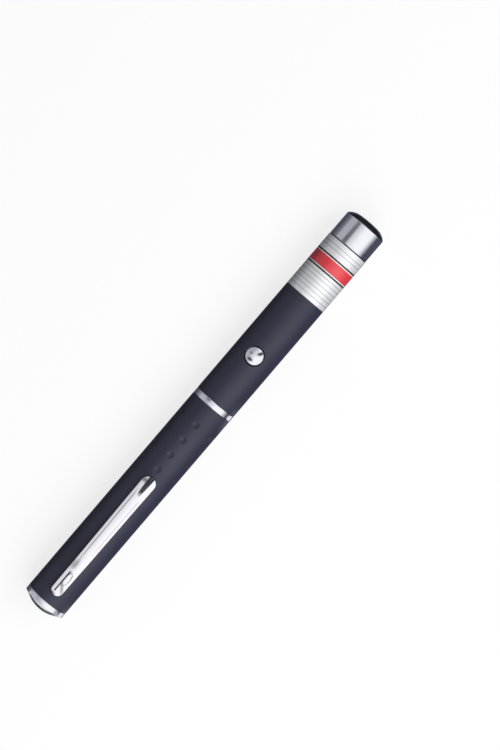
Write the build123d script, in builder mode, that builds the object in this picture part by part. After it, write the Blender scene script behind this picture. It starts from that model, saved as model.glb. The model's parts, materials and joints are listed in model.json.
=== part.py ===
"""A pen-shaped laser pointer, in millimetres.

The barrel runs along X with the beam leaving at +X. Clip and button face up.
The origin is under the middle of the length, on the surface that the pointer lies on.
"""

import os
from math import atan2, cos, degrees, pi, radians, sin, sqrt, tan

from build123d import *

# Bands of the outside, in order from the tail to the tip
tail_dome_height = 2.3
tail_band_length = 1.61
mid_ring_length = 1.95
front_barrel_length = 61.58
head_gap = 0.05
head_length = 8.03
nose_height = 1.9

# Gaps of the fits
press_gap = 0.02
halves_gap = 0.05
edge_break = 0.15

# The two cells, and the battery bay and the wall round them
cell_radius = 5.25
cell_length = 44.0
cell_gap = 0.25
barrel_wall = 1.6
cell_jacket_thickness = 0.1
cell_nub_radius = 1.9
cell_nub_length = 1.0

# Tail cap, its black end insert and the spring behind the cells
tail_skirt_wall = 0.5
tail_skirt_length = 7.0
tail_web_thickness = 1.0
tail_rim_width = 1.8
plug_depth = 3.05
plug_step = 0.1
tail_spring_length = 2.6
tail_spring_inset = 1.3
tail_spring_top_radius = 2.2
tail_spring_wire = 0.35
tail_spring_turns = 3

# Brass sleeve that screws the two barrels together
sleeve_grip_length = 8.0
sleeve_grip_wall = 0.7
sleeve_relief_wall = 0.4
sleeve_relief_length = 1.5
thread_pitch = 1.0
thread_turns = 6
thread_crest_wall = 0.85
thread_depth = 0.4
thread_crest_flat = 0.27
thread_flank_angle = 30
thread_flank_gap = 0.09
thread_radial_gap = 0.1
thread_relief_gap = 0.3
thread_relief_length = 1.4
thread_relief_depth = 0.05

# Dimples, in rows round the rear barrel
dimple_radius = 1.1
dimple_depth = 0.3
dimple_pitch = 5.9
dimple_count = 4
dimple_rows = 6
dimple_to_ring = 7.0

# Clip, a pressed steel strip with its root near the tail
clip_turn = 4.5
clip_from_tail = 7.3
clip_length = 46.3
clip_root_width = 3.8
clip_end_width = 4.65
clip_thickness = 0.5
clip_crown = 0.45
clip_root_rise = 0.3
clip_flat_length = 7.6
clip_ramp_length = 8.0
clip_span_rise = 1.05
clip_bead_rise = 0.15
clip_lip_rise = 0.6
clip_sections = 24
clip_leg_setback = 2.1
clip_leg_width = 3.0
clip_leg_thickness = 0.6
clip_foot_length = 1.6
clip_foot_thickness = 0.32
clip_foot_inset = 0.1
clip_slot_gap = 0.1
clip_foot_gap = 0.3
clip_bead_length = 6.4
clip_bead_from_end = 3.6
clip_bead_radius = 1.0
clip_bead_depth = 0.4
clip_emboss_length = 5.0
clip_emboss_radius = 0.8
clip_emboss_height = 0.14
clip_emboss_from_start = 6.0

# Push button over the switch
button_to_ring = 18.4
button_hole_radius = 3.2
button_radius = 2.85
button_proud = 0.7
button_dome_height = 0.9
button_flange_radius = 3.5
button_flange_thickness = 0.5
button_flange_gap = 0.235

# Label round the front barrel
label_length = 19.5
label_thickness = 0.1
label_from_end = 0.3

# Chrome head and black nose
head_step = 0.1
nose_step = 0.02
nose_crown_radius = 30.0
nose_shoulder_width = 2.98
nose_spigot_length = 2.4
aperture_radius = 1.5
aperture_bevel = 0.3
window_radius = 2.6
window_thickness = 1.0
window_setback = 1.1

# Laser module: diode, focus spring, lens holder and lens in a brass housing
module_share = 0.404
module_end_gap = 0.3
module_step_radius = 2.1
module_lens_radius = 4.1
module_lens_depth = 16.6
diode_flange_radius = 2.8
diode_flange_thickness = 1.2
diode_setback = 2.5
diode_can_radius = 1.78
diode_can_length = 2.4
diode_lead_radius = 0.225
diode_lead_circle = 1.0
diode_lead_length = 6.1
diode_case_lead_length = 2.6
holder_length = 6.0
holder_setback = 5.6
holder_bore_radius = 2.4
holder_seat_depth = 1.9
lens_radius = 3.0
lens_edge_thickness = 1.2
lens_crown_height = 0.6
lens_inset = 0.4
focus_spring_radius = 3.3
focus_spring_wire = 0.3
focus_spring_turns = 4

# Driver board and what is soldered on it
board_drop = 0.25
board_thickness = 1.0
board_edge_gap = 0.05
board_behind_button = 4.0
board_to_module = 0.7
contact_spring_length = 2.7
contact_spring_tip_radius = 1.5
contact_spring_base_radius = 2.6
contact_spring_wire = 0.25
contact_spring_turns = 3
board_sleeve_wall = 0.53
board_sleeve_lead = 2.0
board_sleeve_hole_radius = 3.85
board_sleeve_gap = 0.2
switch_size = 6.0
switch_room = 1.05
switch_cover_thickness = 0.3
switch_well_depth = 1.3
switch_plunger_radius = 1.75
switch_plunger_gap = 0.06
switch_travel = 0.3
switch_lead_spacing = 4.5
switch_lead_width = 0.7
switch_lead_thickness = 0.25
switch_lead_rise = 1.2
switch_lead_drop = 0.8
switch_hole_gap = 0.1
chip_length = 2.9
chip_width = 1.6
chip_height = 1.1
chip_lead_width = 0.4
chip_lead_reach = 0.6
chip_lead_thickness = 0.15
chip_lead_pitch = 0.95
chip_from_switch = 4.2
resistor_length = 1.6
resistor_width = 0.8
resistor_height = 0.45
resistor_pitch = 1.8
resistor_from_switch = 7.6
capacitor_length = 2.0
capacitor_width = 1.25
capacitor_height = 0.9
capacitor_from_switch = 10.2

# Radii that follow from the cells
bay_radius = cell_radius + cell_gap
barrel_radius = bay_radius + barrel_wall
tail_socket_radius = bay_radius + tail_skirt_wall
sleeve_grip_radius = bay_radius + sleeve_grip_wall
sleeve_relief_radius = bay_radius + sleeve_relief_wall
thread_crest_radius = bay_radius + thread_crest_wall
plug_radius = barrel_radius - tail_rim_width
clip_foot_radius = bay_radius - clip_foot_inset
head_radius = barrel_radius - head_step
nose_radius = head_radius - nose_step
nose_shoulder_radius = nose_radius - nose_shoulder_width

# Places along the barrel: the rear barrel is as long as the cells need
tail_room = plug_depth + tail_web_thickness + tail_spring_length
cells_room = 2 * cell_length + contact_spring_length + board_behind_button
tail_to_ring = tail_room + cells_room - button_to_ring - mid_ring_length
rear_barrel_length = tail_to_ring - tail_dome_height - tail_band_length
overall_length = (
    tail_dome_height
    + tail_band_length
    + rear_barrel_length
    + mid_ring_length
    + front_barrel_length
    + head_gap
    + head_length
    + nose_height
)
tail_end = -overall_length / 2
band_start = tail_end + tail_dome_height
rear_start = band_start + tail_band_length
ring_start = rear_start + rear_barrel_length
front_start = ring_start + mid_ring_length
front_end = front_start + front_barrel_length
head_start = front_end + head_gap
nose_start = head_start + head_length
tip = nose_start + nose_height
axis_height = barrel_radius
pen_axis = Axis((0, 0, axis_height), (1, 0, 0))
on_end = (Align.CENTER, Align.CENTER, Align.MIN)


def across(x, turn=0):
    """Plane square to the barrel at x, its Y pointing out at a turn from the top."""
    side = (0, cos(radians(turn)), sin(radians(turn)))
    return Plane(origin=(x, 0, axis_height), x_dir=side, z_dir=(1, 0, 0))


def along(turn=0):
    """Plane through the barrel's axis, its Y pointing out at a turn from the top."""
    side = (0, -cos(radians(turn)), -sin(radians(turn)))
    return Plane(origin=(0, 0, axis_height), x_dir=(1, 0, 0), z_dir=side)


def facing(radius, turn=0):
    """Plane along the barrel that faces out, at a radius and a turn from the top."""
    outward = Vector(0, -sin(radians(turn)), cos(radians(turn)))
    middle = Vector(0, 0, axis_height) + outward * radius
    return Plane(origin=middle, x_dir=(1, 0, 0), z_dir=outward)


def dome_radius(edge_radius, height):
    """Radius of the ball whose cap has this edge radius and height."""
    return (edge_radius**2 + height**2) / (2 * height)


def dome_depth(ball_radius, radius):
    """How far a dome's surface lies behind its top, at a radius."""
    return ball_radius - sqrt(ball_radius**2 - radius**2)


def save(piece, name):
    """Label a finished piece and write its file."""
    piece.part.label = name
    export_step(piece.part, f"parts/{name}.step")


def coil(x, length, start_radius, end_radius, wire_radius, turns):
    """A round wire spring along the axis, between its two seats."""
    rise = length - 2 * wire_radius
    with BuildPart() as spring:
        with BuildLine() as path:
            Helix(
                rise / turns,
                rise,
                start_radius,
                center=(x + wire_radius, 0, axis_height),
                direction=(1, 0, 0),
                cone_angle=degrees(atan2(end_radius - start_radius, rise)),
            )
        with BuildSketch(Plane(origin=path.line @ 0, z_dir=path.line % 0)):
            Circle(wire_radius)
        sweep(path=path.line, is_frenet=True)
    return spring


def thread_turn(inner_radius, outer_radius, half_widths):
    """One turn of a thread's groove, as a solid that starts at x = 0."""
    middle_radius = (inner_radius + outer_radius) / 2
    inner_half, outer_half = half_widths
    with BuildPart() as turn:
        with BuildLine() as path:
            Helix(
                thread_pitch,
                thread_pitch,
                middle_radius,
                center=(0, 0, axis_height),
                direction=(1, 0, 0),
            )
        start = path.line @ 0
        outward = start - Vector(0, 0, axis_height)
        with BuildSketch(Plane(origin=start, x_dir=outward, z_dir=path.line % 0)):
            with BuildLine():
                Polyline(
                    (inner_radius - middle_radius, -inner_half),
                    (outer_radius - middle_radius, -outer_half),
                    (outer_radius - middle_radius, outer_half),
                    (inner_radius - middle_radius, inner_half),
                    close=True,
                )
            make_face()
        sweep(path=path.line, is_frenet=True)
    return turn.part


os.makedirs("parts", exist_ok=True)

# Thread sizes shared by the sleeve and the front barrel
thread_root_radius = thread_crest_radius - thread_depth
thread_slope = tan(radians(thread_flank_angle))
thread_start = front_start + sleeve_relief_length
thread_end = thread_start + (thread_turns - 0.5) * thread_pitch
front_bore_radius = thread_root_radius + thread_radial_gap
bore_root_radius = thread_crest_radius + thread_radial_gap
male_outer_radius = bore_root_radius
female_inner_radius = thread_root_radius


def sleeve_ridge_half(radius):
    """Half the width of the sleeve's thread ridge at a radius."""
    return thread_crest_flat / 2 + (thread_crest_radius - radius) * thread_slope


def sleeve_groove_half(radius):
    """Half the width of the groove between the sleeve's ridges at a radius."""
    return thread_pitch / 2 - sleeve_ridge_half(radius)


def bore_groove_half(radius):
    """Half the width of the groove in the front barrel at a radius."""
    return sleeve_ridge_half(radius) + thread_flank_gap


sleeve_groove = thread_turn(
    thread_root_radius,
    male_outer_radius,
    (sleeve_groove_half(thread_root_radius), sleeve_groove_half(male_outer_radius)),
)
bore_groove = thread_turn(
    female_inner_radius,
    bore_root_radius,
    (bore_groove_half(female_inner_radius), bore_groove_half(bore_root_radius)),
)

# Rear barrel, with its dimples, its two sockets and the clip's slot
clip_start = tail_end + clip_from_tail
clip_end = clip_start + clip_length
clip_leg_place = clip_start + clip_leg_setback + clip_leg_thickness / 2
tail_socket_end = rear_start + tail_skirt_length
sleeve_start = ring_start - sleeve_grip_length
dimple_ball_radius = dome_radius(dimple_radius, dimple_depth)
dimple_places = [ring_start - dimple_to_ring - dimple_pitch * place for place in range(dimple_count)]
with BuildPart() as rear_barrel:
    with BuildSketch(along()):
        with BuildLine():
            Polyline(
                (rear_start, barrel_radius),
                (ring_start, barrel_radius),
                (ring_start, sleeve_grip_radius),
                (sleeve_start, sleeve_grip_radius),
                (sleeve_start, bay_radius),
                (tail_socket_end, bay_radius),
                (tail_socket_end, tail_socket_radius),
                (rear_start, tail_socket_radius),
                close=True,
            )
        make_face()
    revolve(axis=pen_axis)
    with Locations(*[across(place) for place in dimple_places]):
        with PolarLocations(barrel_radius - dimple_depth + dimple_ball_radius, dimple_rows, 90):
            Sphere(dimple_ball_radius, mode=Mode.SUBTRACT)
    with BuildSketch(facing(clip_foot_radius, clip_turn)):
        with Locations((clip_leg_place, 0)):
            Rectangle(clip_leg_thickness + 2 * clip_slot_gap, clip_leg_width + 2 * clip_slot_gap)
    extrude(amount=barrel_radius, mode=Mode.SUBTRACT)
save(rear_barrel, "rear_barrel")

# Chrome ring between the two barrels
with BuildPart() as mid_ring:
    with Locations(across(ring_start)):
        Cylinder(barrel_radius, mid_ring_length, align=on_end)
        Cylinder(sleeve_grip_radius, mid_ring_length, align=on_end, mode=Mode.SUBTRACT)
    chamfer(mid_ring.edges().filter_by(GeomType.CIRCLE).sort_by(SortBy.RADIUS)[-2:], edge_break)
save(mid_ring, "mid_ring")

# Brass sleeve, pressed into the rear barrel and threaded outside in front of the ring
with BuildPart() as thread_sleeve:
    with BuildSketch(along()):
        with BuildLine():
            Polyline(
                (sleeve_start, bay_radius),
                (sleeve_start, sleeve_grip_radius - press_gap),
                (front_start, sleeve_grip_radius - press_gap),
                (front_start, sleeve_relief_radius),
                (thread_start, sleeve_relief_radius),
                (thread_start, thread_crest_radius),
                (thread_end, thread_crest_radius),
                (thread_end, bay_radius),
                close=True,
            )
        make_face()
    revolve(axis=pen_axis)
    for turn_index in range(thread_turns + 1):
        with Locations((thread_start + (turn_index - 0.5) * thread_pitch, 0, 0)):
            add(sleeve_groove, mode=Mode.SUBTRACT)
save(thread_sleeve, "thread_sleeve")

# Chrome tail cap, a band and dome rim with a skirt inside the barrel
tail_dome_radius = dome_radius(barrel_radius, tail_dome_height)
rim_start = tail_end + dome_depth(tail_dome_radius, plug_radius)
rim_middle_radius = (plug_radius + barrel_radius) / 2
rim_middle = tail_end + dome_depth(tail_dome_radius, rim_middle_radius)
plug_seat = tail_end + plug_depth
web_end = plug_seat + tail_web_thickness
skirt_end = tail_socket_end - press_gap
with BuildPart() as tail_cap:
    with BuildSketch(along()):
        with BuildLine():
            ThreePointArc(
                (rim_start, plug_radius),
                (rim_middle, rim_middle_radius),
                (band_start, barrel_radius),
            )
            Polyline(
                (band_start, barrel_radius),
                (rear_start, barrel_radius),
                (rear_start, tail_socket_radius - press_gap),
                (skirt_end, tail_socket_radius - press_gap),
                (skirt_end, bay_radius),
                (web_end, bay_radius),
                (web_end, 0),
                (plug_seat, 0),
                (plug_seat, plug_radius),
                (rim_start, plug_radius),
            )
        make_face()
    revolve(axis=pen_axis)
    with BuildSketch(facing(clip_foot_radius - clip_foot_gap, clip_turn)):
        foot_room = clip_foot_length + clip_foot_gap
        with Locations((clip_leg_place + clip_leg_thickness / 2 - foot_room, 0)):
            Rectangle(
                tail_skirt_length,
                clip_leg_width + 2 * clip_foot_gap,
                align=(Align.MIN, Align.CENTER),
            )
    extrude(amount=barrel_radius, mode=Mode.SUBTRACT)
save(tail_cap, "tail_cap")

# Black insert that closes the tail
plug_crown_height = rim_start + plug_step - tail_end
plug_edge = plug_radius - press_gap
plug_crown_radius = dome_radius(plug_edge, plug_crown_height)
with BuildPart() as tail_plug:
    with BuildSketch(along()):
        with BuildLine():
            ThreePointArc(
                (tail_end, 0),
                (tail_end + dome_depth(plug_crown_radius, plug_edge / 2), plug_edge / 2),
                (tail_end + plug_crown_height, plug_edge),
            )
            Polyline(
                (tail_end + plug_crown_height, plug_edge),
                (plug_seat, plug_edge),
                (plug_seat, 0),
                (tail_end, 0),
            )
        make_face()
    revolve(axis=pen_axis)
save(tail_plug, "tail_plug")

tail_spring = coil(
    web_end,
    tail_spring_length,
    bay_radius - tail_spring_inset,
    tail_spring_top_radius,
    tail_spring_wire,
    tail_spring_turns,
)
save(tail_spring, "tail_spring")

# Two cells in line, nubs towards the tip, each a steel can in a printed jacket
cells_start = web_end + tail_spring_length
can_radius = cell_radius - cell_jacket_thickness
can_length = cell_length - cell_nub_length
for place, name in enumerate(("rear_cell", "front_cell")):
    cell_start = cells_start + place * cell_length
    with BuildPart() as cell:
        with Locations(across(cell_start)):
            Cylinder(can_radius - press_gap, can_length, align=on_end)
            Cylinder(cell_nub_radius, cell_length, align=on_end)
        chamfer(cell.edges().filter_by(GeomType.CIRCLE).sort_by(Axis.X)[-1], edge_break)
    save(cell, name)
    with BuildPart() as jacket:
        with Locations(across(cell_start)):
            Cylinder(cell_radius, can_length, align=on_end)
            Cylinder(can_radius, can_length, align=on_end, mode=Mode.SUBTRACT)
    save(jacket, f"{name}_jacket")
cells_end = cells_start + 2 * cell_length

# Clip, an arched strip that is bent down through the slot into a foot
bead_middle = clip_end - clip_bead_from_end
ramp_start = clip_start + clip_flat_length
ramp_end = ramp_start + clip_ramp_length
clip_arch_radius = dome_radius(clip_end_width / 2, clip_crown)
clip_blank_half = clip_end_width / 2 + clip_thickness
clip_blank_drop = dome_depth(clip_arch_radius, clip_blank_half)


def eased(place, start, end):
    """Share of a smooth bend from start to end that is done at a place."""
    share = min(max((place - start) / (end - start), 0), 1)
    return (1 - cos(pi * share)) / 2


def clip_rise(place):
    """How far the clip stands off the barrel: up from its root, down to its bead, up at its lip."""
    up = (clip_span_rise - clip_root_rise) * eased(place, ramp_start, ramp_end)
    down = (clip_span_rise - clip_bead_rise) * eased(place, ramp_end, bead_middle)
    lip = (clip_lip_rise - clip_bead_rise) * eased(place, bead_middle, clip_end)
    return clip_root_rise + up - down + lip


def clip_top(rise):
    """Height of the clip's ridge above the axis, where its edges have this rise."""
    return barrel_radius + rise + clip_thickness + clip_crown


def egg(x, length, belly_radius, height, cut, keep):
    """A long egg along the clip, its axis at a height above the barrel's, cut at a height."""
    with BuildPart() as body:
        with BuildSketch(along(clip_turn)):
            with Locations((x, height)):
                Ellipse(length / 2, belly_radius)
                Rectangle(
                    length,
                    belly_radius,
                    align=(Align.CENTER, Align.MIN),
                    mode=Mode.INTERSECT,
                )
        revolve(axis=Axis(along(clip_turn).from_local_coords((0, height, 0)), (1, 0, 0)))
        split(bisect_by=facing(cut, clip_turn), keep=keep)
    return body.part


bead_top = clip_top(clip_bead_rise)
bead_axis = bead_top + clip_bead_radius - clip_bead_depth
press_mark = egg(
    bead_middle,
    clip_bead_length,
    clip_bead_radius,
    bead_axis,
    bead_axis + clip_bead_radius / 2,
    Keep.BOTTOM,
)
press_bulge = egg(
    bead_middle,
    clip_bead_length + 2 * clip_thickness,
    clip_bead_radius + clip_thickness,
    bead_axis,
    bead_top - clip_thickness / 2,
    Keep.BOTTOM,
)
emboss_middle = clip_start + clip_emboss_from_start
emboss_axis = clip_top(clip_root_rise) - clip_emboss_radius + clip_emboss_height
emboss = egg(
    emboss_middle,
    clip_emboss_length,
    clip_emboss_radius,
    emboss_axis,
    clip_top(clip_root_rise) - clip_thickness / 2,
    Keep.TOP,
)

with BuildPart() as clip:
    for section in range(clip_sections):
        place = clip_start + clip_length * section / (clip_sections - 1)
        ridge = clip_top(clip_rise(place))
        with BuildSketch(across(place, clip_turn)):
            with BuildLine():
                top = ThreePointArc(
                    (-clip_blank_half, ridge - clip_blank_drop),
                    (0, ridge),
                    (clip_blank_half, ridge - clip_blank_drop),
                )
                bottom = ThreePointArc(
                    (-clip_blank_half, ridge - clip_blank_drop - clip_thickness),
                    (0, ridge - clip_thickness),
                    (clip_blank_half, ridge - clip_blank_drop - clip_thickness),
                )
                Line(top @ 0, bottom @ 0)
                Line(top @ 1, bottom @ 1)
            make_face()
    loft()
    with BuildSketch(facing(0, clip_turn)):
        with Locations((clip_start + clip_root_width / 2, 0)):
            Circle(clip_root_width / 2)
        with Locations((clip_end - clip_end_width / 2, 0)):
            Circle(clip_end_width / 2)
        make_hull()
    extrude(amount=2 * barrel_radius, mode=Mode.INTERSECT)
    with BuildSketch(along(clip_turn)):
        with BuildLine():
            Polyline(
                (clip_leg_place + clip_leg_thickness / 2, clip_foot_radius),
                (clip_leg_place + clip_leg_thickness / 2, clip_top(clip_root_rise) - clip_thickness),
                (clip_leg_place - clip_leg_thickness / 2, clip_top(clip_root_rise) - clip_thickness),
                (clip_leg_place - clip_leg_thickness / 2, clip_foot_radius + clip_foot_thickness),
                (
                    clip_leg_place + clip_leg_thickness / 2 - clip_foot_length,
                    clip_foot_radius + clip_foot_thickness,
                ),
                (clip_leg_place + clip_leg_thickness / 2 - clip_foot_length, clip_foot_radius),
                close=True,
            )
        make_face()
    extrude(amount=clip_leg_width / 2, both=True)
    add(press_bulge)
    add(press_mark, mode=Mode.SUBTRACT)
    add(emboss)
save(clip, "clip")

# Front barrel, bored through, threaded at the back and stepped down for the label
button_place = front_start + button_to_ring
label_start = front_end - label_from_end - label_length
label_seat_radius = barrel_radius - label_thickness - press_gap
relief_start = thread_end + thread_relief_gap
relief_end = relief_start + thread_relief_length
relief_radius = bore_root_radius + thread_relief_depth
with BuildPart() as front_barrel:
    with BuildSketch(along()):
        with BuildLine():
            Polyline(
                (front_start + halves_gap, front_bore_radius),
                (front_start + halves_gap, barrel_radius),
                (label_start, barrel_radius),
                (label_start, label_seat_radius),
                (front_end, label_seat_radius),
                (front_end, front_bore_radius),
                (relief_end, front_bore_radius),
                (relief_end, relief_radius),
                (relief_start, relief_radius),
                (relief_start, front_bore_radius),
                close=True,
            )
        make_face()
    revolve(axis=pen_axis)
    for turn_index in range(thread_turns + 2):
        with Locations((thread_start + (turn_index - 2) * thread_pitch, 0, 0)):
            add(bore_groove, mode=Mode.SUBTRACT)
    with BuildSketch(facing(0)):
        with Locations((button_place, 0)):
            Circle(button_hole_radius)
    extrude(amount=2 * barrel_radius, mode=Mode.SUBTRACT)
save(front_barrel, "front_barrel")

# Blank foil label
with BuildPart() as label_wrap:
    with Locations(across(label_start)):
        Cylinder(barrel_radius, label_length, align=on_end)
        Cylinder(barrel_radius - label_thickness, label_length, align=on_end, mode=Mode.SUBTRACT)
save(label_wrap, "label_wrap")

# Chrome head sleeve
with BuildPart() as head_sleeve:
    with Locations(across(head_start)):
        Cylinder(head_radius, head_length, align=on_end)
        Cylinder(front_bore_radius, head_length, align=on_end, mode=Mode.SUBTRACT)
    chamfer(head_sleeve.edges().filter_by(GeomType.CIRCLE).sort_by(SortBy.RADIUS)[-2:], edge_break)
save(head_sleeve, "head_sleeve")

# Black nose with the beam's hole and the window's seat behind it
module_radius = front_bore_radius - press_gap
aperture_edge = aperture_radius + aperture_bevel
crown_top = tip + dome_depth(nose_crown_radius, aperture_edge)


def crown_place(radius):
    """Where the nose's crown lies along the barrel, at a radius."""
    return crown_top - dome_depth(nose_crown_radius, radius)


spigot_start = nose_start - nose_spigot_length
window_front = nose_start - window_setback
crown_middle = (aperture_edge + nose_shoulder_radius) / 2
with BuildPart() as nose_cap:
    with BuildSketch(along()):
        with BuildLine():
            crown = ThreePointArc(
                (tip, aperture_edge),
                (crown_place(crown_middle), crown_middle),
                (crown_place(nose_shoulder_radius), nose_shoulder_radius),
            )
            TangentArc(crown @ 1, (nose_start, nose_radius), tangent=crown % 1)
            Polyline(
                (nose_start, nose_radius),
                (nose_start, module_radius),
                (spigot_start, module_radius),
                (spigot_start, window_radius + press_gap),
                (window_front, window_radius + press_gap),
                (window_front, aperture_radius),
                (tip - aperture_bevel, aperture_radius),
                (tip, aperture_edge),
            )
        make_face()
    revolve(axis=pen_axis)
save(nose_cap, "nose_cap")

with BuildPart() as aperture_window:
    with Locations(across(window_front - window_thickness)):
        Cylinder(window_radius, window_thickness, align=on_end)
save(aperture_window, "aperture_window")

# Brass housing of the laser module, which also joins the barrel to the head
module_end = spigot_start - module_end_gap
module_start = module_end - module_share * front_barrel_length
diode_start = module_start + diode_setback
diode_front = diode_start + diode_flange_thickness
lens_room_start = module_end - module_lens_depth
diode_seat_radius = diode_flange_radius + press_gap
with BuildPart() as module_housing:
    with BuildSketch(along()):
        with BuildLine():
            Polyline(
                (module_start, diode_seat_radius),
                (module_start, module_radius),
                (module_end, module_radius),
                (module_end, module_lens_radius),
                (lens_room_start, module_lens_radius),
                (lens_room_start, module_step_radius),
                (diode_front, module_step_radius),
                (diode_front, diode_seat_radius),
                close=True,
            )
        make_face()
    revolve(axis=pen_axis)
    chamfer(module_housing.edges().filter_by(GeomType.CIRCLE).sort_by(SortBy.RADIUS)[-2:], edge_break)
save(module_housing, "module_housing")

with BuildPart() as laser_diode:
    with Locations(across(diode_start)):
        Cylinder(diode_flange_radius, diode_flange_thickness, align=on_end)
        Cylinder(diode_can_radius, diode_flange_thickness + diode_can_length, align=on_end)
save(laser_diode, "laser_diode")

# Three leads: one on each side over the board, and the case lead short below
board_end = module_start - board_to_module
with BuildPart() as diode_leads:
    with Locations(across(diode_start - diode_lead_length)):
        with Locations((-diode_lead_circle, 0), (diode_lead_circle, 0)):
            Cylinder(diode_lead_radius, diode_lead_length, align=on_end)
    with Locations(across(diode_start - diode_case_lead_length)):
        with Locations((0, -diode_lead_circle)):
            Cylinder(diode_lead_radius, diode_case_lead_length, align=on_end)
save(diode_leads, "diode_leads")

# Lens holder with the lens seated in its back
holder_start = module_end - holder_setback - holder_length
with BuildPart() as lens_holder:
    with BuildSketch(along()):
        with BuildLine():
            Polyline(
                (holder_start, lens_radius + press_gap),
                (holder_start, module_lens_radius - press_gap),
                (holder_start + holder_length, module_lens_radius - press_gap),
                (holder_start + holder_length, holder_bore_radius),
                (holder_start + holder_seat_depth, holder_bore_radius),
                (holder_start + holder_seat_depth, lens_radius + press_gap),
                close=True,
            )
        make_face()
    revolve(axis=pen_axis)
save(lens_holder, "lens_holder")

lens_start = holder_start + lens_inset
lens_crown_radius = dome_radius(lens_radius, lens_crown_height)
lens_depth = lens_edge_thickness + lens_crown_height
with BuildPart() as collimating_lens:
    with Locations(across(lens_start)):
        Cylinder(lens_radius, lens_depth, align=on_end)
    with Locations((lens_start + lens_depth - lens_crown_radius, 0, axis_height)):
        Sphere(lens_crown_radius, mode=Mode.INTERSECT)
save(collimating_lens, "collimating_lens")

focus_spring = coil(
    lens_room_start,
    holder_start - lens_room_start,
    focus_spring_radius,
    focus_spring_radius,
    focus_spring_wire,
    focus_spring_turns,
)
save(focus_spring, "focus_spring")

# Driver board, a strip just under the axis, with holes for the switch's leads
board_sleeve_radius = module_radius - board_sleeve_wall
board_start = cells_end + contact_spring_length
board_top = axis_height - board_drop
board_bottom = board_top - board_thickness
board_half_width = sqrt(board_sleeve_radius**2 - (board_drop + board_thickness) ** 2) - board_edge_gap
lead_side = switch_size / 2 + switch_lead_thickness / 2
lead_places = [
    (button_place + side * lead_side, row * switch_lead_spacing / 2)
    for side in (-1, 1)
    for row in (-1, 1)
]
with BuildPart() as driver_board:
    with BuildSketch(Plane.XY.offset(board_bottom)):
        with Locations(((board_start + board_end) / 2, 0)):
            Rectangle(board_end - board_start, 2 * board_half_width)
        with Locations(*lead_places):
            Rectangle(
                switch_lead_thickness + 2 * switch_hole_gap,
                switch_lead_width + 2 * switch_hole_gap,
                mode=Mode.SUBTRACT,
            )
    extrude(amount=board_thickness)
save(driver_board, "driver_board")

contact_spring = coil(
    cells_end,
    contact_spring_length,
    contact_spring_tip_radius,
    contact_spring_base_radius,
    contact_spring_wire,
    contact_spring_turns,
)
save(contact_spring, "contact_spring")

# Insulating sleeve that carries the board in the barrel
board_sleeve_start = board_start - board_sleeve_lead
board_sleeve_length = module_start - board_sleeve_gap - board_sleeve_start
with BuildPart() as board_sleeve:
    with Locations(across(board_sleeve_start)):
        Cylinder(module_radius, board_sleeve_length, align=on_end)
        Cylinder(board_sleeve_radius, board_sleeve_length, align=on_end, mode=Mode.SUBTRACT)
    with BuildSketch(facing(0)):
        with Locations((button_place, 0)):
            Circle(board_sleeve_hole_radius)
    extrude(amount=barrel_radius, mode=Mode.SUBTRACT)
save(board_sleeve, "board_sleeve")

# Switch: moulded base, steel cover, four leads and the plunger in its well
flange_room = sqrt(front_bore_radius**2 - button_flange_radius**2)
plunger_top = axis_height + flange_room - button_flange_thickness - button_flange_gap
switch_top = plunger_top - switch_room - switch_cover_thickness
switch_height = switch_top - board_top
well_radius = switch_plunger_radius + switch_plunger_gap
with BuildPart() as switch_base:
    with BuildSketch(Plane.XY.offset(board_top)):
        with Locations((button_place, 0)):
            Rectangle(switch_size, switch_size)
    extrude(amount=switch_height)
    with BuildSketch(Plane.XY.offset(switch_top - switch_well_depth)):
        with Locations((button_place, 0)):
            Circle(well_radius)
    extrude(amount=switch_well_depth, mode=Mode.SUBTRACT)
save(switch_base, "switch_base")

with BuildPart() as switch_cover:
    with BuildSketch(Plane.XY.offset(switch_top)):
        with Locations((button_place, 0)):
            Rectangle(switch_size, switch_size)
            Circle(well_radius, mode=Mode.SUBTRACT)
    extrude(amount=switch_cover_thickness)
save(switch_cover, "switch_cover")

with BuildPart() as switch_leads:
    with BuildSketch(Plane.XY.offset(board_bottom - switch_lead_drop)):
        with Locations(*lead_places):
            Rectangle(switch_lead_thickness, switch_lead_width)
    extrude(amount=switch_lead_drop + board_thickness + switch_lead_rise)
save(switch_leads, "switch_leads")

plunger_bottom = switch_top - switch_well_depth + switch_travel + switch_hole_gap
with BuildPart() as switch_plunger:
    with BuildSketch(Plane.XY.offset(plunger_bottom)):
        with Locations((button_place, 0)):
            Circle(switch_plunger_radius)
    extrude(amount=plunger_top - plunger_bottom)
save(switch_plunger, "switch_plunger")

# Chrome button, domed above the barrel and held in by its flange
button_top = axis_height + barrel_radius + button_proud
with BuildPart() as button_cap:
    with Locations((button_place, 0, plunger_top)):
        Cylinder(button_radius, button_top - plunger_top, align=on_end)
    with Locations((button_place, 0, button_top - dome_radius(button_radius, button_dome_height))):
        Sphere(dome_radius(button_radius, button_dome_height), mode=Mode.INTERSECT)
    with Locations((button_place, 0, plunger_top)):
        Cylinder(button_flange_radius, button_flange_thickness, align=on_end)
save(button_cap, "button_cap")

# Driver parts soldered on top of the board, in front of the switch
chip_place = button_place + switch_size / 2 + chip_from_switch
with BuildPart() as driver_chip:
    with BuildSketch(Plane.XY.offset(board_top)):
        with Locations((chip_place, 0)):
            Rectangle(chip_length, chip_width)
    extrude(amount=chip_height)
    with BuildSketch(Plane.XY.offset(board_top)):
        with Locations((chip_place, 0)):
            with GridLocations(chip_lead_pitch, chip_width + chip_lead_reach, 3, 2):
                Rectangle(chip_lead_width, chip_lead_reach)
    extrude(amount=chip_lead_thickness)
save(driver_chip, "driver_chip")

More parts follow.
